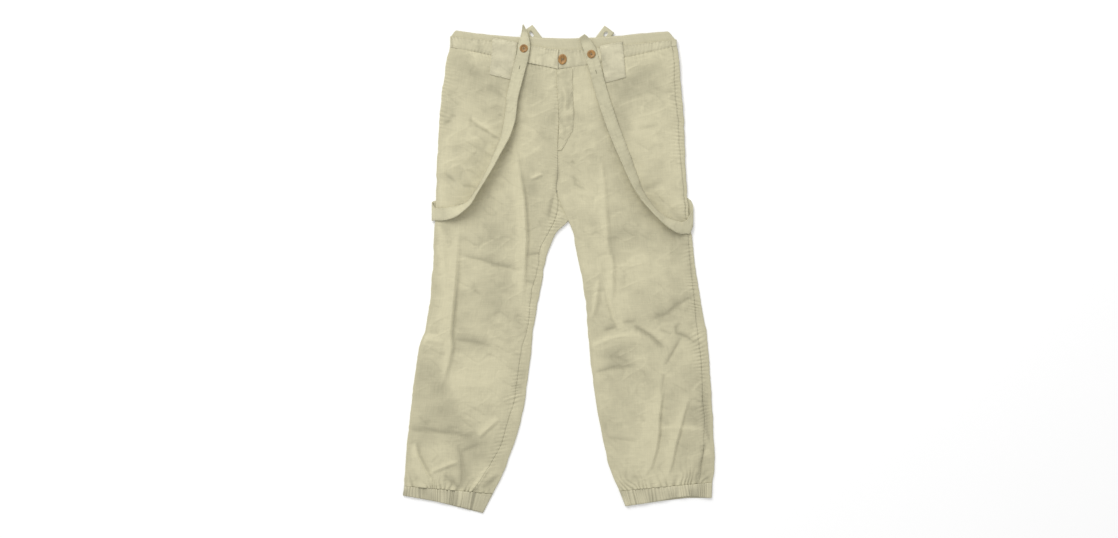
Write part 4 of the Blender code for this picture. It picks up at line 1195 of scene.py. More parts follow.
def patch(name, corners, material, seed):
    """A four-cornered patch over the waist seam: straight lines between its corners, with the
    slightly bowed sides of soft cloth."""
    outer_top, inner_top, inner_low, outer_low = (np.array(c) for c in corners)
    down, along = np.meshgrid(np.linspace(0, 1, 49), np.linspace(0, 1, 31), indexing="ij")
    down, along = down[..., None], along[..., None]
    plan = (1 - down) * ((1 - along) * outer_top + along * inner_top)
    plan = plan + down * ((1 - along) * outer_low + along * inner_low)
    height, width = PATCH_SIZE
    edges = np.minimum(np.minimum(down, 1 - down) * height, np.minimum(along, 1 - along) * width)[..., 0]
    plan = plan + 0.0005 * np.dstack((noise(plan[..., 0], plan[..., 1], 0.012, seed), 0 * edges))
    side = "right" if outer_top[0] < 0 else "left"
    names = (f"front_{side}", f"waistband_front_{side}")
    wall = bpy.context.scene.trouser_cloth.patch_wall
    laid_piece(name, plan, names, wall, material, outer_top[0] < 0, edges, seed)


def placket(material):
    """The fly's topstitched lap: rows between its left and right edges from the table."""
    knots = np.arange(len(PLACKET), dtype=float)
    table = smooth(PLACKET, knots, np.linspace(0, knots[-1], 103))
    share = np.linspace(0, 1, 21)
    x = table[:, 1:2] + (table[:, 2:3] - table[:, 1:2]) * share
    y = table[:, 0:1] + 0 * x
    edges = np.minimum(x - table[:, 1:2], table[:, 2:3] - x)
    edges = np.minimum(edges, y - PLACKET[-1][0])
    names = ("front_right", "front_left")
    wall = bpy.context.scene.trouser_cloth.patch_wall * 0.7
    plan = np.dstack((x, y))
    laid_piece("fly_placket", plan, names, wall, material, True, edges, 420, PLACKET_CREASES)


def cuff_ribs(share, down, folds, seed):
    """Ribs across a cuff, |sin| of an uneven place, with one deep fold and a step past it: the
    relief from which the material paints shade and highlight on the cloth, and the same with the step."""
    zero = 0 * share
    place = share * CUFF_RIBS + 0.9 * noise(share * CUFF_RIBS, zero, 1.7, seed)
    place = place + 0.5 * noise(share * 30, down + zero, 2.0, seed + 1)
    deep = 0.7 + 0.5 * noise(share * 20, zero, 1.3, seed + 2)
    rib = RIB_HEIGHT * deep * (1.7 * np.abs(np.sin(pi * place)) - 1)
    rib = rib + 0.0012 * noise(share * 9, 1.2 * down + zero, 1.0, seed + 3)
    fold_place, fold_depth, step = folds
    beyond = ease((share - fold_place) / 0.02)
    if step:
        rib = rib * (1 - 0.7 * beyond)
    relief = rib - fold_depth * np.exp(-(((share - fold_place) / 0.012) ** 2))
    return relief, relief - step * beyond


def cuff(name, leg, hem, folds, opening, material, seed):
    """A gathered cuff: a flat ring with ribs on its top and underside, closed by round ends. Its
    hem is drawn up in front between two places, as half a sine wave."""
    outer, along, width, _ = (value[-1] for value in leg.rows(np.array((21.0, 22.0)), False))
    angle = np.linspace(0, 2 * pi, CUFF_COLUMNS, endpoint=False)
    turns = (0, CUFF_END, pi - CUFF_END, pi, pi + CUFF_END, 2 * pi - CUFF_END, 2 * pi)
    flat = np.interp(angle, turns, (0, 0.012, 0.988, 1, 0.988, 0.012, 0))
    level = np.interp(angle, turns, (0, 1, 1, 0, -1, -1, 0))
    on_top = np.clip(level, 0, 1)
    down = np.linspace(0, 1, 17)[:, None]
    share = flat[None] + 0 * down
    top = outer + along * width * share[..., None] - np.array((0.0, SEAM_GAP))
    table = np.asarray(hem)
    low = np.dstack([np.interp(share, table[:, 0], table[:, k]) for k in (1, 2)])
    start, end, gape = opening
    low[..., 1] += gape * np.sin(pi * np.clip((share - start) / (end - start), 0, 1)) * on_top
    plan = top + down[..., None] * (low - top)
    relief, carved = cuff_ribs(share, down, folds, seed)
    lip = -0.0006 * np.exp(-(((1 - down) / 0.06) ** 2)) - 0.0002 * np.exp(-((down / 0.06) ** 2))
    z = CUFF_HEIGHT / 2 + level * CUFF_HEIGHT / 2 + (carved + lip) * on_top
    z = np.where(level < 0, np.maximum(z + 0.0005 * (1 + carved / 0.0011), 0.0002), z)
    points = np.dstack((plan, z))
    grain = grain_of(np.concatenate((points, points[:, :1]), axis=1))
    wall, flip = bpy.context.scene.trouser_cloth.leg_wall, leg.side < 0
    relief = relief * (level > 0)
    cloth(name, points, material, wall, flip, relief, grain, ring=True)


def widths(route):
    """Unit directions across a brace from its turn in plan and its roll."""
    turn, roll = np.radians(route[:, 3]), np.radians(route[:, 4])
    return np.column_stack((np.cos(turn) * np.cos(roll), np.sin(turn) * np.cos(roll), np.sin(roll)))


def rest_heights(surface, route):
    """Heights at which a brace's lowest edge just touches the cloth, looked for across its width
    and a little way ahead and behind."""
    width = widths(route)[:, None, None]
    travel = np.gradient(route[:, :2], axis=0)
    travel = (travel / np.linalg.norm(travel, axis=1)[:, None])[:, None, None]
    reach = (np.linspace(-1, 1, 9) * BRACE_WIDTH / 2)[None, :, None, None]
    ahead = np.array((-0.004, 0.0, 0.004))[None, None, :, None]
    place = route[:, None, None, :2] + width[..., :2] * reach + travel * ahead
    under = surface.at(place[..., 0], place[..., 1]) - (width[..., 2:] * reach)[..., 0]
    wall = bpy.context.scene.trouser_cloth.brace_wall
    return under.max(axis=(1, 2)) + BRACE_CLEARANCE + wall / 2


def even_out(values, passes):
    """Average each value with its neighbours that many times, the ends held."""
    values = values.copy()
    for _ in range(passes):
        values[1:-1] = (values[:-2] + 2 * values[1:-1] + values[2:]) / 4
    return values


def brace_route(surface, front, back):
    """Places along a brace from its tip to its tail: x, y, z, turn and roll at even steps."""
    front, back = np.asarray(front, dtype=float), np.asarray(back, dtype=float)
    controls = np.zeros((len(front) + len(back), 5))
    controls[: len(front), [0, 1, 3, 4]] = front[:, :4]
    controls[len(front) :, :4] = back
    controls[: len(front), 2] = rest_heights(surface, controls[: len(front)]) + front[:, 4]
    spans = np.linalg.norm(np.diff(controls[:, :3], axis=0), axis=1)
    run = np.concatenate(([0.0], np.cumsum(spans)))
    places = np.linspace(0, run[-1], 2 * int(run[-1] / BRACE_STEP / 2) + 1)
    route = smooth(controls, run, places)
    on_front = places <= run[len(front) - 1]
    laid = rest_heights(surface, route[on_front])
    route[on_front, 2] = np.maximum(route[on_front, 2], even_out(laid, 6))
    route[~on_front, 2] = np.maximum(route[~on_front, 2], BRACE_LOWEST)
    route[~on_front, 4] = 0.0
    return route


def brace(name, surface, front, back, tip, flip, material, seed):
    """One brace: a strip of even width carried along its route, its width turned and rolled as the
    tables say, narrowed to its tip, and puckered along both stitched edges."""
    settings = bpy.context.scene.trouser_cloth
    route = brace_route(surface, front, back)
    centre = route[:, :3]
    run = lengths(centre[:, None], 0)[:, 0]
    width = widths(route)
    travel = np.gradient(centre, axis=0)
    travel /= np.linalg.norm(travel, axis=1)[:, None]
    half = BRACE_WIDTH / 2 / np.linalg.norm(np.cross(width, travel), axis=1)
    half = np.minimum(half, BRACE_WIDTH * MOST_SKEW / 2)
    tip = np.asarray(tip)
    share = np.linspace(-1, 1, 15)[None]
    low, high = (np.interp(run, tip[:, 0], tip[:, k])[:, None] for k in (1, 2))
    share = low + (share + 1) / 2 * (high - low)
    points = centre[:, None] + (share * half[:, None])[..., None] * width[:, None]
    edge = np.minimum(share - low, high - share) * BRACE_WIDTH / 2
    along = run[:, None] + 0 * edge
    relief = puckers(edge, along, 0.0009, 0.0085, 0.0050, seed)
    relief += 0.0005 * noise(along, share * 0.01, 0.016, seed + 4) + stitch_dip(edge)
    relief += 0.9 * crumple(along, share * BRACE_WIDTH / 2, settings.crumple, seed + 10)
    relief = np.minimum(relief, 0.0002)
    normal = normals(points) * (-1 if flip else 1)
    free = np.where((points[..., 2] > 0.004) & (points[..., 2] > underside(points[..., 1])), 1.0, 0.25)
    points = points + (relief * free + settings.brace_wall / 2)[..., None] * normal
    grain = np.stack((edge, along), axis=-1)
    under, wall = ["front_right", "front_left", "waistband_front_right"], settings.brace_wall
    item = cloth(name, points, material, wall, flip, relief, grain)
    return item, route, run
def sample(grid, row, column):
    """Points of a grid at fractional rows and columns, by straight lines between its points."""
    i = np.clip(np.floor(row).astype(int), 0, grid.shape[0] - 2)
    j = np.clip(np.floor(column).astype(int), 0, grid.shape[1] - 2)
    return blend(grid, i, j, (row - i)[:, None], (column - j)[:, None])


def at_places(places, run, values):
    """Rows of values at places along a path, by straight lines between its points."""
    return np.column_stack([np.interp(places, run, column) for column in values.T])


def stitch_points(middle, along, up):
    """Closed little threads: four-sided rings of a varying radius carried along each stitch, which
    bows up in the middle as a parabola."""
    side = np.cross(up, along)
    angle = np.arange(STITCH_SIDES) * 2 * pi / STITCH_SIDES + pi / 4
    circle = side[:, None] * np.cos(angle)[:, None] + up[:, None] * np.sin(angle)[:, None]
    rings = []
    for place, share in STITCH_RINGS:
        bend = up * STITCH_RADIUS * STITCH_BOW * (1 - (2 * place) ** 2)
        ring_middle = middle + along * STITCH_LENGTH * place + bend
        rings.append(ring_middle[:, None] + circle * STITCH_RADIUS * share)
    return np.stack(rings, axis=1)


def stitches(name, seams, material):
    """Rows of stitches as one mesh. Each seam is a grid, its rows and columns to follow, and which
    way the cloth's face points."""
    blocks = []
    for grid, rows, columns, outward in seams:
        path = sample(grid, rows, columns)
        normal = sample(normals(grid), rows, columns) * outward
        run = np.concatenate(([0.0], np.cumsum(np.linalg.norm(np.diff(path, axis=0), axis=1))))
        places = np.arange(STITCH_PITCH, run[-1] - STITCH_PITCH / 2, STITCH_PITCH)
        middle = at_places(places, run, path)
        up = at_places(places, run, normal)
        along = at_places(places + 0.001, run, path) - at_places(places - 0.001, run, path)
        along /= np.linalg.norm(along, axis=1)[:, None]
        up -= along * (up * along).sum(axis=1)[:, None]
        up /= np.linalg.norm(up, axis=1)[:, None]
        blocks.append(stitch_points(middle + up * (STITCH_RADIUS * STITCH_RISE), along, up))
    points = np.concatenate(blocks)
    index = np.arange(points[..., 0].size).reshape(points.shape[:3])
    after = np.roll(index, -1, axis=2)
    walls = np.stack((index[:, :-1], after[:, :-1], after[:, 1:], index[:, 1:]), axis=-1).reshape(-1, 4)
    faces = np.concatenate((walls, index[:, 0, ::-1], index[:, -1]))
    return place_piece(name, new_mesh(name, points, faces.tolist()), material)


def level_row(grid, distance, from_end):
    """Fractional row of every column at a distance from the grid's first or last row."""
    run = lengths(grid, 0)
    wanted = run[-1] - distance if from_end else np.full(grid.shape[1], distance)
    numbers = np.arange(len(grid))
    rows = [np.interp(place, run[:, k], numbers) for k, place in enumerate(wanted)]
    return np.array(rows), np.arange(grid.shape[1], dtype=float)


def down_column(grid, column, outward, first, margin, count):
    """A seam down one column of a grid, which counts from the end where it is below 0."""
    rows = np.linspace(first, len(grid) - margin, count)
    return grid, rows, np.full(count, column if column > 0 else grid.shape[1] + column), outward


def round_edge(grid, outward, inset=1.2, count=200):
    """A seam once round a grid, an inset from its border that is counted in squares."""
    last_row, last_column = grid.shape[0] - 1 - inset, grid.shape[1] - 1 - inset
    corners = ((inset, inset), (last_row, inset), (last_row, last_column), (inset, last_column))
    sides = zip(corners, corners[1:] + corners[:1])
    path = np.concatenate([np.linspace(start, end, count) for start, end in sides])
    return grid, path[:, 0], path[:, 1], outward


def circle(sides, radius):
    """Corners of a regular outline round the middle, in turn."""
    angle = np.linspace(0, 2 * pi, sides, endpoint=False)
    return radius * np.column_stack((np.cos(angle), np.sin(angle)))


def hole_places(centre, turn):
    """Middles of a button's four holes in plan."""
    angle = turn + pi / 4 + np.arange(4) * pi / 2
    return np.column_stack((centre.x + HOLE_SPREAD * np.cos(angle), centre.y + HOLE_SPREAD * np.sin(angle)))


def slot_outline(x, y, turn, length, width):
    """A buttonhole in plan: a long box with round ends, turned."""
    outline = circle(24, width / 2)
    outline[:, 0] += np.sign(outline[:, 0]) * (length - width) / 2
    c, s = np.cos(turn), np.sin(turn)
    return outline @ np.array(((c, s), (-s, c))) + np.array((x, y))


def cutter(outlines, low, high):
    """A tool to cut with: upright closed prisms, each an outline carried from low to high."""
    blocks, faces = [], []
    for outline in outlines:
        count = len(outline)
        bottom = np.arange(count) + count * len(blocks)
        top = bottom + count
        blocks += [np.column_stack((outline, np.full(count, z))) for z in (low, high)]
        faces += np.stack((bottom, np.roll(bottom, -1), np.roll(top, -1), top), axis=-1).tolist()
        faces += [bottom[::-1].tolist(), top.tolist()]
    item = bpy.data.objects.new("cutter", new_mesh("cutter", np.concatenate(blocks), faces, False))
    bpy.context.scene.collection.objects.link(item)
    return item


def cut(item, *cutters):
    """Cut the tools' shapes out of a piece, keep the mesh that this makes and remove the tools."""
    for tool in cutters:
        modifier = item.modifiers.new("cut", "BOOLEAN")
        modifier.operation, modifier.object, modifier.solver = "DIFFERENCE", tool, "EXACT"
    shape = bpy.context.evaluated_depsgraph_get()
    bpy.context.view_layer.update()
    mesh = bpy.data.meshes.new_from_object(item.evaluated_get(shape))
    item.modifiers.clear()
    item.data = mesh
    for tool in cutters:
        bpy.data.objects.remove(tool, do_unlink=True)


def tube(path, radius, sides):
    """A closed tube along a path: a circle square to the path's direction, pinched at both ends."""
    along = np.gradient(path, axis=0)
    along /= np.linalg.norm(along, axis=1)[:, None]
    side = np.cross(along, (0.0, 0.0, 1.0))
    side /= np.linalg.norm(side, axis=1)[:, None]
    up = np.cross(side, along)
    angle = np.linspace(0, 2 * pi, sides, endpoint=False)[None, :, None]
    shrink = np.ones(len(path))
    shrink[[0, -1]] = 0.15
    around_path = np.cos(angle) * side[:, None] + np.sin(angle) * up[:, None]
    ring = path[:, None] + radius * shrink[:, None, None] * around_path
    index = np.arange(ring.shape[0] * sides).reshape(-1, sides)
    after = np.roll(index, -1, axis=1)
    quads = np.stack((index[:-1], index[1:], after[1:], after[:-1]), axis=-1).reshape(-1, 4)
    return ring.reshape(-1, 3), quads


def sewing_thread(name, centre, turn, top, face_up, material):
    """Two threads that cross over the button's dished middle: each an arch between two holes, flat
    where the button's face lies on the floor."""
    holes = hole_places(centre, turn)
    share = np.linspace(0, 1, 12)
    points, faces = [], []
    for first, second, rise in ((0, 2, 0.0005), (1, 3, 0.0009)):
        plan = holes[first] + share[:, None] * (holes[second] - holes[first])
        rise *= 1.0 if face_up > 0 else 0.25
        arch = rise * np.sin(pi * share) ** 0.5 - THREAD_DROP * np.abs(2 * share - 1) ** 6
        made, quads = tube(np.column_stack((plan, top + face_up * arch)), THREAD_RADIUS, 8)
        faces += (quads + len(points)).tolist()
        points += made.tolist()
    place_piece(name + "_thread", new_mesh(name + "_thread", points, faces), material)


def button(name, material, thread, turn, oval=(1.0, 1.0)):
    """A turned horn button: a profile with a raised rim and a dished middle carried round, four
    holes cut through it, and two crossing threads."""
    low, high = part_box(name)
    centre = (low + high) / 2
    radius, thick = (high.x - low.x) / 2, high.z - low.z
    face_up = -1.0 if "back" in name else 1.0
    base = low.z if face_up > 0 else high.z
    profile = np.array(BUTTON_PROFILE)
    angle = np.linspace(0, 2 * pi, BUTTON_SIDES, endpoint=False)[None]
    rim = 1 + 0.012 * np.sin(2 * angle + turn) + 0.008 * np.sin(3 * angle)
    reach = profile[:, 0:1] * radius
    points = np.dstack((
        reach * np.cos(angle) * oval[0] * rim,
        reach * np.sin(angle) * oval[1] * rim,
        (profile[:, 1:2] * thick + 0 * angle) * face_up,
    ))
    points = points + np.array((centre.x, centre.y, base))
    index = np.arange(points[..., 0].size).reshape(points.shape[:2])
    index = np.hstack((index, index[:, :1]))
    quads = np.stack((index[:-1, :-1], index[1:, :-1], index[1:, 1:], index[:-1, 1:]), axis=-1)
    faces = quads.reshape(-1, 4).tolist() + [index[0, :-1].tolist(), index[-1, :-1][::-1].tolist()]
    if face_up < 0:
        faces = [face[::-1] for face in faces]
    item = place_piece(name + "_horn", new_mesh(name + "_horn", points, faces), material, [name])
    holes = [place + circle(14, HOLE_RADIUS) for place in hole_places(centre, turn)]
    cut(item, cutter(holes, centre.z - 4 * thick, centre.z + 4 * thick))
    sewing_thread(name, centre, turn, base + face_up * THREAD_HEIGHT * thick, face_up, thread)


def add_node(tree, kind, inputs=None, **values):
    """A shader node with its plain attributes, and its sockets' values by name or number."""
    made = tree.nodes.new(kind)
    for key, value in values.items():
        setattr(made, key, value)
    for key, value in (inputs or {}).items():
        made.inputs[key].default_value = value
    return made


def new_material(name, inputs):
    """A material, its node tree and its Principled shader with the sockets' values by name."""
    material = bpy.data.materials.new(name)
    material.use_nodes = True
    shader = material.node_tree.nodes["Principled BSDF"]
    for key, value in inputs.items():
        shader.inputs[key].default_value = value
    return material, material.node_tree, shader


def linen_group():
    """The weave that all the cloth shares: slubs along the warp and the weft, a mottled tint, painted
    shade in the valleys of the relief and a painted highlight on its ridges, and the height of the
    threads. Sockets: the grain in metres, the colour, the relief in metres and three strengths; it
    puts out a colour and a height."""
    existing = bpy.data.node_groups.get("linen_weave")
    if existing:
        return existing
    group = bpy.data.node_groups.new("linen_weave", "ShaderNodeTree")
    for name, way, kind in (
        ("Grain", "INPUT", "Vector"), ("Colour", "INPUT", "Color"), ("Relief", "INPUT", "Float"),
        ("Slubs", "INPUT", "Float"), ("Mottling", "INPUT", "Float"), ("Relief shading", "INPUT", "Float"),
        ("Colour", "OUTPUT", "Color"), ("Height", "OUTPUT", "Float"),
    ):
        group.interface.new_socket(name=name, in_out=way, socket_type="NodeSocket" + kind)
    link = group.links.new
    source = group.nodes.new("NodeGroupInput").outputs
    result = group.nodes.new("NodeGroupOutput").inputs

    def noise_along(scale, detail):
        stretched = add_node(group, "ShaderNodeVectorMath", {1: scale}, operation="MULTIPLY")
        link(source["Grain"], stretched.inputs[0])
        texture = add_node(group, "ShaderNodeTexNoise", {"Scale": 1.0, "Detail": detail, "Roughness": 0.6})
        link(stretched.outputs[0], texture.inputs["Vector"])
        return texture.outputs["Fac"]

    def math(operation, *terms):
        made = add_node(group, "ShaderNodeMath", operation=operation)
        for socket, value in zip(made.inputs, terms):
            if hasattr(value, "links"):
                link(value, socket)
            else:
                socket.default_value = value
        return made.outputs[0]

    warp = noise_along((520.0, 26.0, 1.0), 3.0)
    weft = noise_along((30.0, 560.0, 1.0), 3.0)
    blotch = noise_along((34.0, 30.0, 1.0), 4.0)
    slubs = math("SUBTRACT", math("ADD", warp, weft), 1.0)
    tint = math("MULTIPLY", slubs, source["Slubs"])
    mottle = math("MULTIPLY", math("SUBTRACT", blotch, 0.5), source["Mottling"])
    # Painted shade and highlight: the relief in metres darkens the colour in creases and seam grooves and
    # lightens it on ridges
    relief_shading = math("MULTIPLY", source["Relief"], 600.0)
    relief_shading = math("MINIMUM", math("MAXIMUM", relief_shading, -1.0), 0.6)
    relief_shading = math("MULTIPLY", relief_shading, source["Relief shading"])
    bright = math("ADD", math("ADD", tint, mottle), math("ADD", relief_shading, 1.0))
    toned = add_node(group, "ShaderNodeVectorMath", operation="SCALE")
    link(source["Colour"], toned.inputs[0])
    link(bright, toned.inputs["Scale"])
    link(toned.outputs[0], result["Colour"])

    parts = add_node(group, "ShaderNodeSeparateXYZ")
    link(source["Grain"], parts.inputs[0])
    waves = [math("SINE", math("MULTIPLY", parts.outputs[k], 2 * pi / WEAVE_PITCH)) for k in (0, 1)]
    weave = math("MULTIPLY", math("MULTIPLY", *waves), 0.22)
    link(math("ADD", weave, math("MULTIPLY", slubs, 1.4)), result["Height"])
    return group


def linen_material(name, colour, slubs=0.22, mottling=0.16, relief_shading_strength=0.22):
    """A matt linen: the weave group, with its painted shade and highlight on the relief, into a
    Principled shader with a soft sheen.
    """
    material, tree, shader = new_material(name, {
        "Roughness": 0.92, "Specular IOR Level": 0.18, "Sheen Weight": 0.12, "Sheen Roughness": 0.5,
    })
    grain = add_node(tree, "ShaderNodeUVMap", uv_map="grain")
    relief = add_node(tree, "ShaderNodeAttribute", attribute_name="relief")
    weave = add_node(tree, "ShaderNodeGroup", node_tree=linen_group())
    strengths = {"Slubs": slubs, "Mottling": mottling, "Relief shading": relief_shading_strength}
    for key, value in {"Colour": (*colour, 1.0), **strengths}.items():
        weave.inputs[key].default_value = value
    bump = add_node(tree, "ShaderNodeBump", {"Strength": 0.5, "Distance": 0.0005})
    link = tree.links.new
    link(grain.outputs["UV"], weave.inputs["Grain"])
    link(relief.outputs["Fac"], weave.inputs["Relief"])
    link(weave.outputs["Colour"], shader.inputs["Base Color"])
    link(weave.outputs["Height"], bump.inputs["Height"])
    link(bump.outputs["Normal"], shader.inputs["Normal"])
    return material


def two_tones(tree, pattern, stops):
    """Colours a pattern by two stops, each a place and a colour."""
    tint = tree.nodes.new("ShaderNodeValToRGB")
    for element, (place, colour) in zip(tint.color_ramp.elements, stops):
        element.position = place
        element.color = (*colour, 1.0)
    tree.links.new(pattern, tint.inputs["Fac"])
    return tint.outputs["Color"]


def thread_material(name, colour):
    """Sewing thread: a twisted ply as fine slanting stripes on the object's own coordinates."""
    material, tree, shader = new_material(name, {"Roughness": 0.7})
    place = tree.nodes.new("ShaderNodeTexCoord")
    stripes = {"Scale": 900.0, "Distortion": 1.5}
    ply = add_node(tree, "ShaderNodeTexWave", stripes, bands_direction="DIAGONAL")
    tree.links.new(place.outputs["Object"], ply.inputs["Vector"])
    dark = [0.86 * value for value in colour]
    tint = two_tones(tree, ply.outputs["Fac"], ((0.0, dark), (1.0, colour)))
    tree.links.new(tint, shader.inputs["Base Color"])
    return material


def horn_material(name, colour):
    """Polished horn: streaks of light and dark brown, with a little clear depth."""
    coat = {"Roughness": 0.5, "Coat Weight": 0.12, "Coat Roughness": 0.35}
    material, tree, shader = new_material(name, coat)
    place = tree.nodes.new("ShaderNodeTexCoord")
    stretch = {1: (260.0, 90.0, 200.0)}
    stretched = add_node(tree, "ShaderNodeVectorMath", stretch, operation="MULTIPLY")
    streaks = add_node(tree, "ShaderNodeTexNoise", {"Scale": 1.0, "Detail": 5.0, "Distortion": 0.6})
    tree.links.new(place.outputs["Object"], stretched.inputs[0])
    tree.links.new(stretched.outputs[0], streaks.inputs["Vector"])
    dark, light = [0.5 * value for value in colour], [min(1.0, 1.35 * value) for value in colour]
    tint = two_tones(tree, streaks.outputs["Fac"], ((0.34, dark), (0.70, light)))
    tree.links.new(tint, shader.inputs["Base Color"])
    return material


def floor_material(colour):
    """Plain pale floor with a little light of its own."""
    colour = (*colour, 1.0)
    return new_material("pale_floor", {
        "Roughness": 0.95, "Specular IOR Level": 0.1,
        "Base Color": colour, "Emission Color": colour, "Emission Strength": FLOOR_GLOW,
    })[0]


class TROUSERS_OT_fronts(bpy.types.Operator):
    """Make both fronts of the legs"""

    bl_idname = "trousers.fronts"
    bl_label = "Fronts"

    def execute(self, context):
        right, left = legs()
        linen = linen_material("leg_front_linen", context.scene.trouser_colours.leg)
        make_panel("front_right", right, "outer", False, linen)
        make_panel("front_left", left, "inner", False, linen)
        return {"FINISHED"}


class TROUSERS_OT_backs(bpy.types.Operator):
    """Make both backs of the legs"""

    bl_idname = "trousers.backs"
    bl_label = "Backs"

    def execute(self, context):
        right, left = legs()
        linen = linen_material("leg_back_linen", context.scene.trouser_colours.leg)
        make_panel("back_right", right, "inner", True, linen)
        make_panel("back_left", left, "outer", True, linen)
        return {"FINISHED"}


class TROUSERS_OT_waistband(bpy.types.Operator):
    """Make the two front halves and the back of the waistband"""

    bl_idname = "trousers.waistband"
    bl_label = "Waistband"

    def execute(self, context):
        linen = linen_material("waistband_linen", context.scene.trouser_colours.band)
        front_band("waistband_front_right", BAND_EDGES[0][0] + BAND_SEAM_RIGHT, -SEAM_GAP / 2, 310, linen)
        front_band("waistband_front_left", BAND_EDGES[-1][0] - BAND_SEAM_LEFT, SEAM_GAP / 2, 330, linen)
        back_band(linen)
        return {"FINISHED"}


class TROUSERS_OT_cuffs(bpy.types.Operator):
    """Make the two gathered ankle cuffs"""

    bl_idname = "trousers.cuffs"
    bl_label = "Cuffs"

    def execute(self, context):
        right, left = legs()
        # Deeper painted shade in the cuffs' rib valleys and deep fold than on the rest of the cloth
        linen = linen_material("cuff_linen", context.scene.trouser_colours.cuff, relief_shading_strength=0.34)
        cuff("cuff_right", right, HEM_RIGHT, FOLD_CUFF_RIGHT, OPENING_RIGHT, linen, 350)
        cuff("cuff_left", left, HEM_LEFT, FOLD_CUFF_LEFT, OPENING_LEFT, linen, 360)
        return {"FINISHED"}


class TROUSERS_OT_fly(bpy.types.Operator):
    """Make the fly's topstitched lap"""

    bl_idname = "trousers.fly"
    bl_label = "Fly"

    def execute(self, context):
        placket(linen_material("fly_linen", context.scene.trouser_colours.leg))
        return {"FINISHED"}


class TROUSERS_OT_patches(bpy.types.Operator):
    """Make the two patches that carry the brace buttons"""

    bl_idname = "trousers.patches"
    bl_label = "Patches"

    def execute(self, context):
        linen = linen_material("patch_linen", context.scene.trouser_colours.patch)
        patch("brace_patch_right", PATCH_RIGHT, linen, 370)
        patch("brace_patch_left", PATCH_LEFT, linen, 380)
        return {"FINISHED"}


class TROUSERS_OT_braces(bpy.types.Operator):
    """Make the two braces, from their front tips round the hips to the tails behind the waist"""

    bl_idname = "trousers.braces"
    bl_label = "Braces"

    def execute(self, context):
        linen = linen_material("brace_linen", context.scene.trouser_colours.brace, slubs=0.16)
        names = needs(
            "front_right", "front_left", "waistband_front_right", "waistband_front_left", "waistband_back",
            "fly_placket", "brace_patch_right", "brace_patch_left",
        )
        surface = HeightMap(names)
        right = (BRACE_FRONT_RIGHT, BRACE_BACK_RIGHT, TIP_RIGHT, True, linen, 500)
        left = (BRACE_FRONT_LEFT, BRACE_BACK_LEFT, TIP_LEFT, False, linen, 520)
        for name, shape, tail, hole in (
            ("brace_right", right, TAIL_HOLE_RIGHT, HOLE_RIGHT),
            ("brace_left", left, TAIL_HOLE_LEFT, HOLE_LEFT),
        ):
            item, route, run = brace(name, surface, *shape)
            x, y, turn, length, width = tail
            in_tail = cutter([slot_outline(x, y, radians(turn), length, width)], -0.006, 0.014)
            distance, length, width = hole
            (x, y, z), ahead = at_places(np.array((distance, distance + 0.005)), run, route[:, :3])
            turn = np.arctan2(ahead[1] - y, ahead[0] - x)
            in_front = cutter([slot_outline(x, y, turn, length, width)], z - 0.004, z + 0.004)
            cut(item, in_tail, in_front)
        return {"FINISHED"}


class TROUSERS_OT_buttons(bpy.types.Operator):
    """Make the horn buttons and the thread through them"""

    bl_idname = "trousers.buttons"
    bl_label = "Buttons"

    def execute(self, context):
        colours = context.scene.trouser_colours
        horn = horn_material("brown_horn", colours.horn)
        thread = thread_material("button_thread", tuple(0.55 * value for value in colours.thread))
        button("fly_button", horn, thread, 0.35, (0.96, 1.16))
        button("brace_button_right", horn, thread, 0.1)
        button("brace_button_left", horn, thread, 0.6)
        button("back_button_right", horn, thread, 0.2)
        button("back_button_left", horn, thread, 0.5)
        return {"FINISHED"}


class TROUSERS_OT_stitching(bpy.types.Operator):
    """Sew the rows of stitches on the waistband, patches, fly, braces and seams"""

    bl_idname = "trousers.stitching"
    bl_label = "Stitching"

    def execute(self, context):
        thread = thread_material("sewing_thread", context.scene.trouser_colours.thread)
        bands = []
        for name, outward in (("waistband_front_right", -1), ("waistband_front_left", 1)):
            for distance, from_end in ((0.0022, False), (0.0024, True)):
                rows, columns = level_row(GRIDS[name], distance, from_end)
                bands.append((GRIDS[name], rows[2:-2], columns[2:-2], outward))
        stitches("waistband_stitches", bands, thread)
        patches = (("brace_patch_right", 1), ("brace_patch_left", -1))
        rounds = [round_edge(GRIDS[name], outward) for name, outward in patches]
        stitches("patch_stitches", rounds, thread)
        fly = [down_column(GRIDS["fly_placket"], column, 1, 1, 3, 300) for column in (1.4, -3.0)]
        stitches("fly_stitches", fly, thread)
        edges = [
            down_column(GRIDS[name], column, outward, 8, 3, 900)
            for name, outward in (("brace_right", 1), ("brace_left", -1))
            for column in (1.5, -2.5)
        ]
        stitches("brace_stitches", edges, thread)
        inseam = down_column(GRIDS["front_right"], -1.9, 1, 160, 4, 900)
        outseam = down_column(GRIDS["front_left"], 0.9, -1, 2, 4, 1200)
        stitches("seam_stitches", [inseam, outseam], thread)
        return {"FINISHED"}


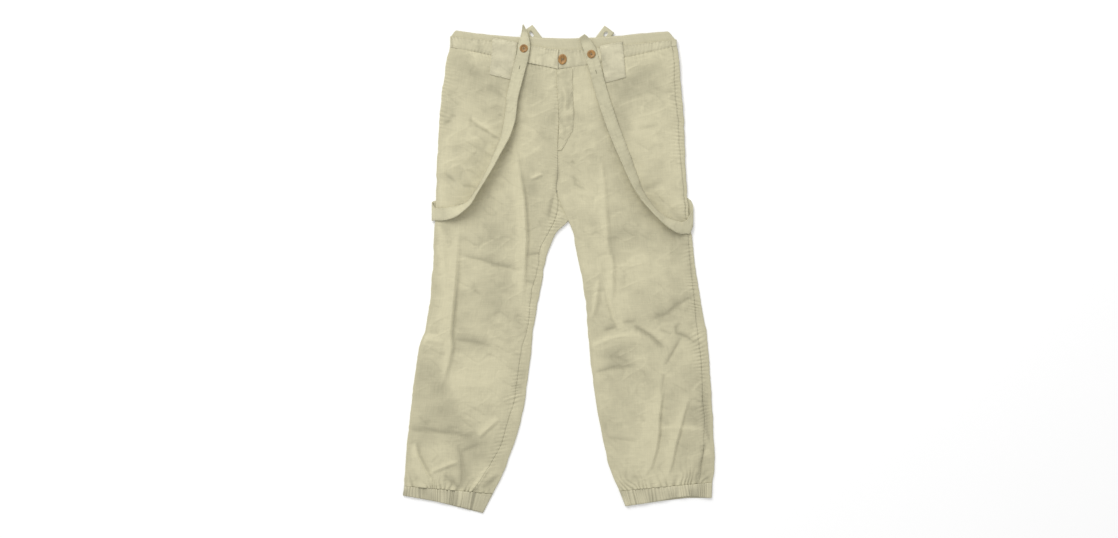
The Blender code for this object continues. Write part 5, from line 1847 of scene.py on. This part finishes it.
class TROUSERS_OT_stage(bpy.types.Operator):
    """Lay the pale floor and set the studio light and the camera"""

    bl_idname = "trousers.stage"
    bl_label = "Stage"

    def execute(self, context):
        scene = context.scene
        stage = scene.trouser_stage
        corners = [(x * FLOOR_REACH, y * FLOOR_REACH, 0) for x, y in ((-1, -1), (1, -1), (1, 1), (-1, 1))]
        floor = new_mesh("floor", corners, [(0, 1, 2, 3)], False)
        floor.materials.append(floor_material(scene.trouser_colours.floor))
        item = bpy.data.objects.new("floor", floor)
        scene.collection.objects.link(item)
        world = bpy.data.worlds.new("studio")
        world.use_nodes = True
        background = world.node_tree.nodes["Background"]
        background.inputs["Color"].default_value = (1.0, 1.0, 1.0, 1.0)
        background.inputs["Strength"].default_value = stage.fill
        scene.world = world
        softbox("key", KEY_PLACE, KEY_SIZE, stage.key_power)
        camera = bpy.data.cameras.new("camera")
        camera.sensor_width = 36.0
        camera.lens = camera.sensor_width * stage.camera_height / stage.view_width
        camera.clip_end = 50.0
        eye = bpy.data.objects.new("camera", camera)
        scene.collection.objects.link(eye)
        eye.location = (0.001, -0.001, stage.camera_height)
        scene.camera = eye
        scene.view_settings.view_transform = "Standard"
        scene.view_settings.look = "None"
        return {"FINISHED"}


def softbox(name, place, size, power):
    """A square area light that looks at the middle of the garment."""
    light = bpy.data.lights.new(name, "AREA")
    light.shape = "SQUARE"
    light.size = size
    light.energy = power
    item = bpy.data.objects.new(name, light)
    bpy.context.scene.collection.objects.link(item)
    item.location = place
    aim = -item.location.normalized()
    item.rotation_euler = aim.to_track_quat("-Z", "Y").to_euler()


# Each group of settings and its name in the scene
SETTINGS = {
    "trouser_cloth": ClothSettings,
    "trouser_colours": ColourSettings,
    "trouser_stage": StageSettings,
}

OPERATORS = (
    TROUSERS_OT_fronts,
    TROUSERS_OT_backs,
    TROUSERS_OT_waistband,
    TROUSERS_OT_cuffs,
    TROUSERS_OT_fly,
    TROUSERS_OT_patches,
    TROUSERS_OT_braces,
    TROUSERS_OT_buttons,
    TROUSERS_OT_stitching,
    TROUSERS_OT_stage,
)


class TROUSERS_PT_panel(bpy.types.Panel):
    """Lists the trousers' pieces and their settings"""

    bl_label = "Linen Trousers"
    bl_idname = "TROUSERS_PT_panel"
    bl_space_type = "VIEW_3D"
    bl_region_type = "UI"
    bl_category = "Trousers"

    def draw(self, context):
        for operator in OPERATORS:
            self.layout.operator(operator.bl_idname)
        for group in SETTINGS:
            settings = getattr(context.scene, group)
            box = self.layout.box()
            for name in settings.bl_rna.properties.keys():
                if name not in ("rna_type", "name"):
                    box.prop(settings, name)


CLASSES = (*SETTINGS.values(), *OPERATORS, TROUSERS_PT_panel)


def register():
    for item in CLASSES:
        bpy.utils.register_class(item)
    for name, kind in SETTINGS.items():
        setattr(bpy.types.Scene, name, bpy.props.PointerProperty(type=kind))


def unregister():
    for name in SETTINGS:
        delattr(bpy.types.Scene, name)
    for item in reversed(CLASSES):
        bpy.utils.unregister_class(item)


def main():
    register()
    bpy.ops.trousers.stage()
    bpy.ops.trousers.backs()
    bpy.ops.trousers.fronts()
    bpy.ops.trousers.waistband()
    bpy.ops.trousers.cuffs()
    bpy.ops.trousers.fly()
    bpy.ops.trousers.patches()
    bpy.ops.trousers.braces()
    bpy.ops.trousers.buttons()
    bpy.ops.trousers.stitching()


if __name__ == "__main__":
    main()
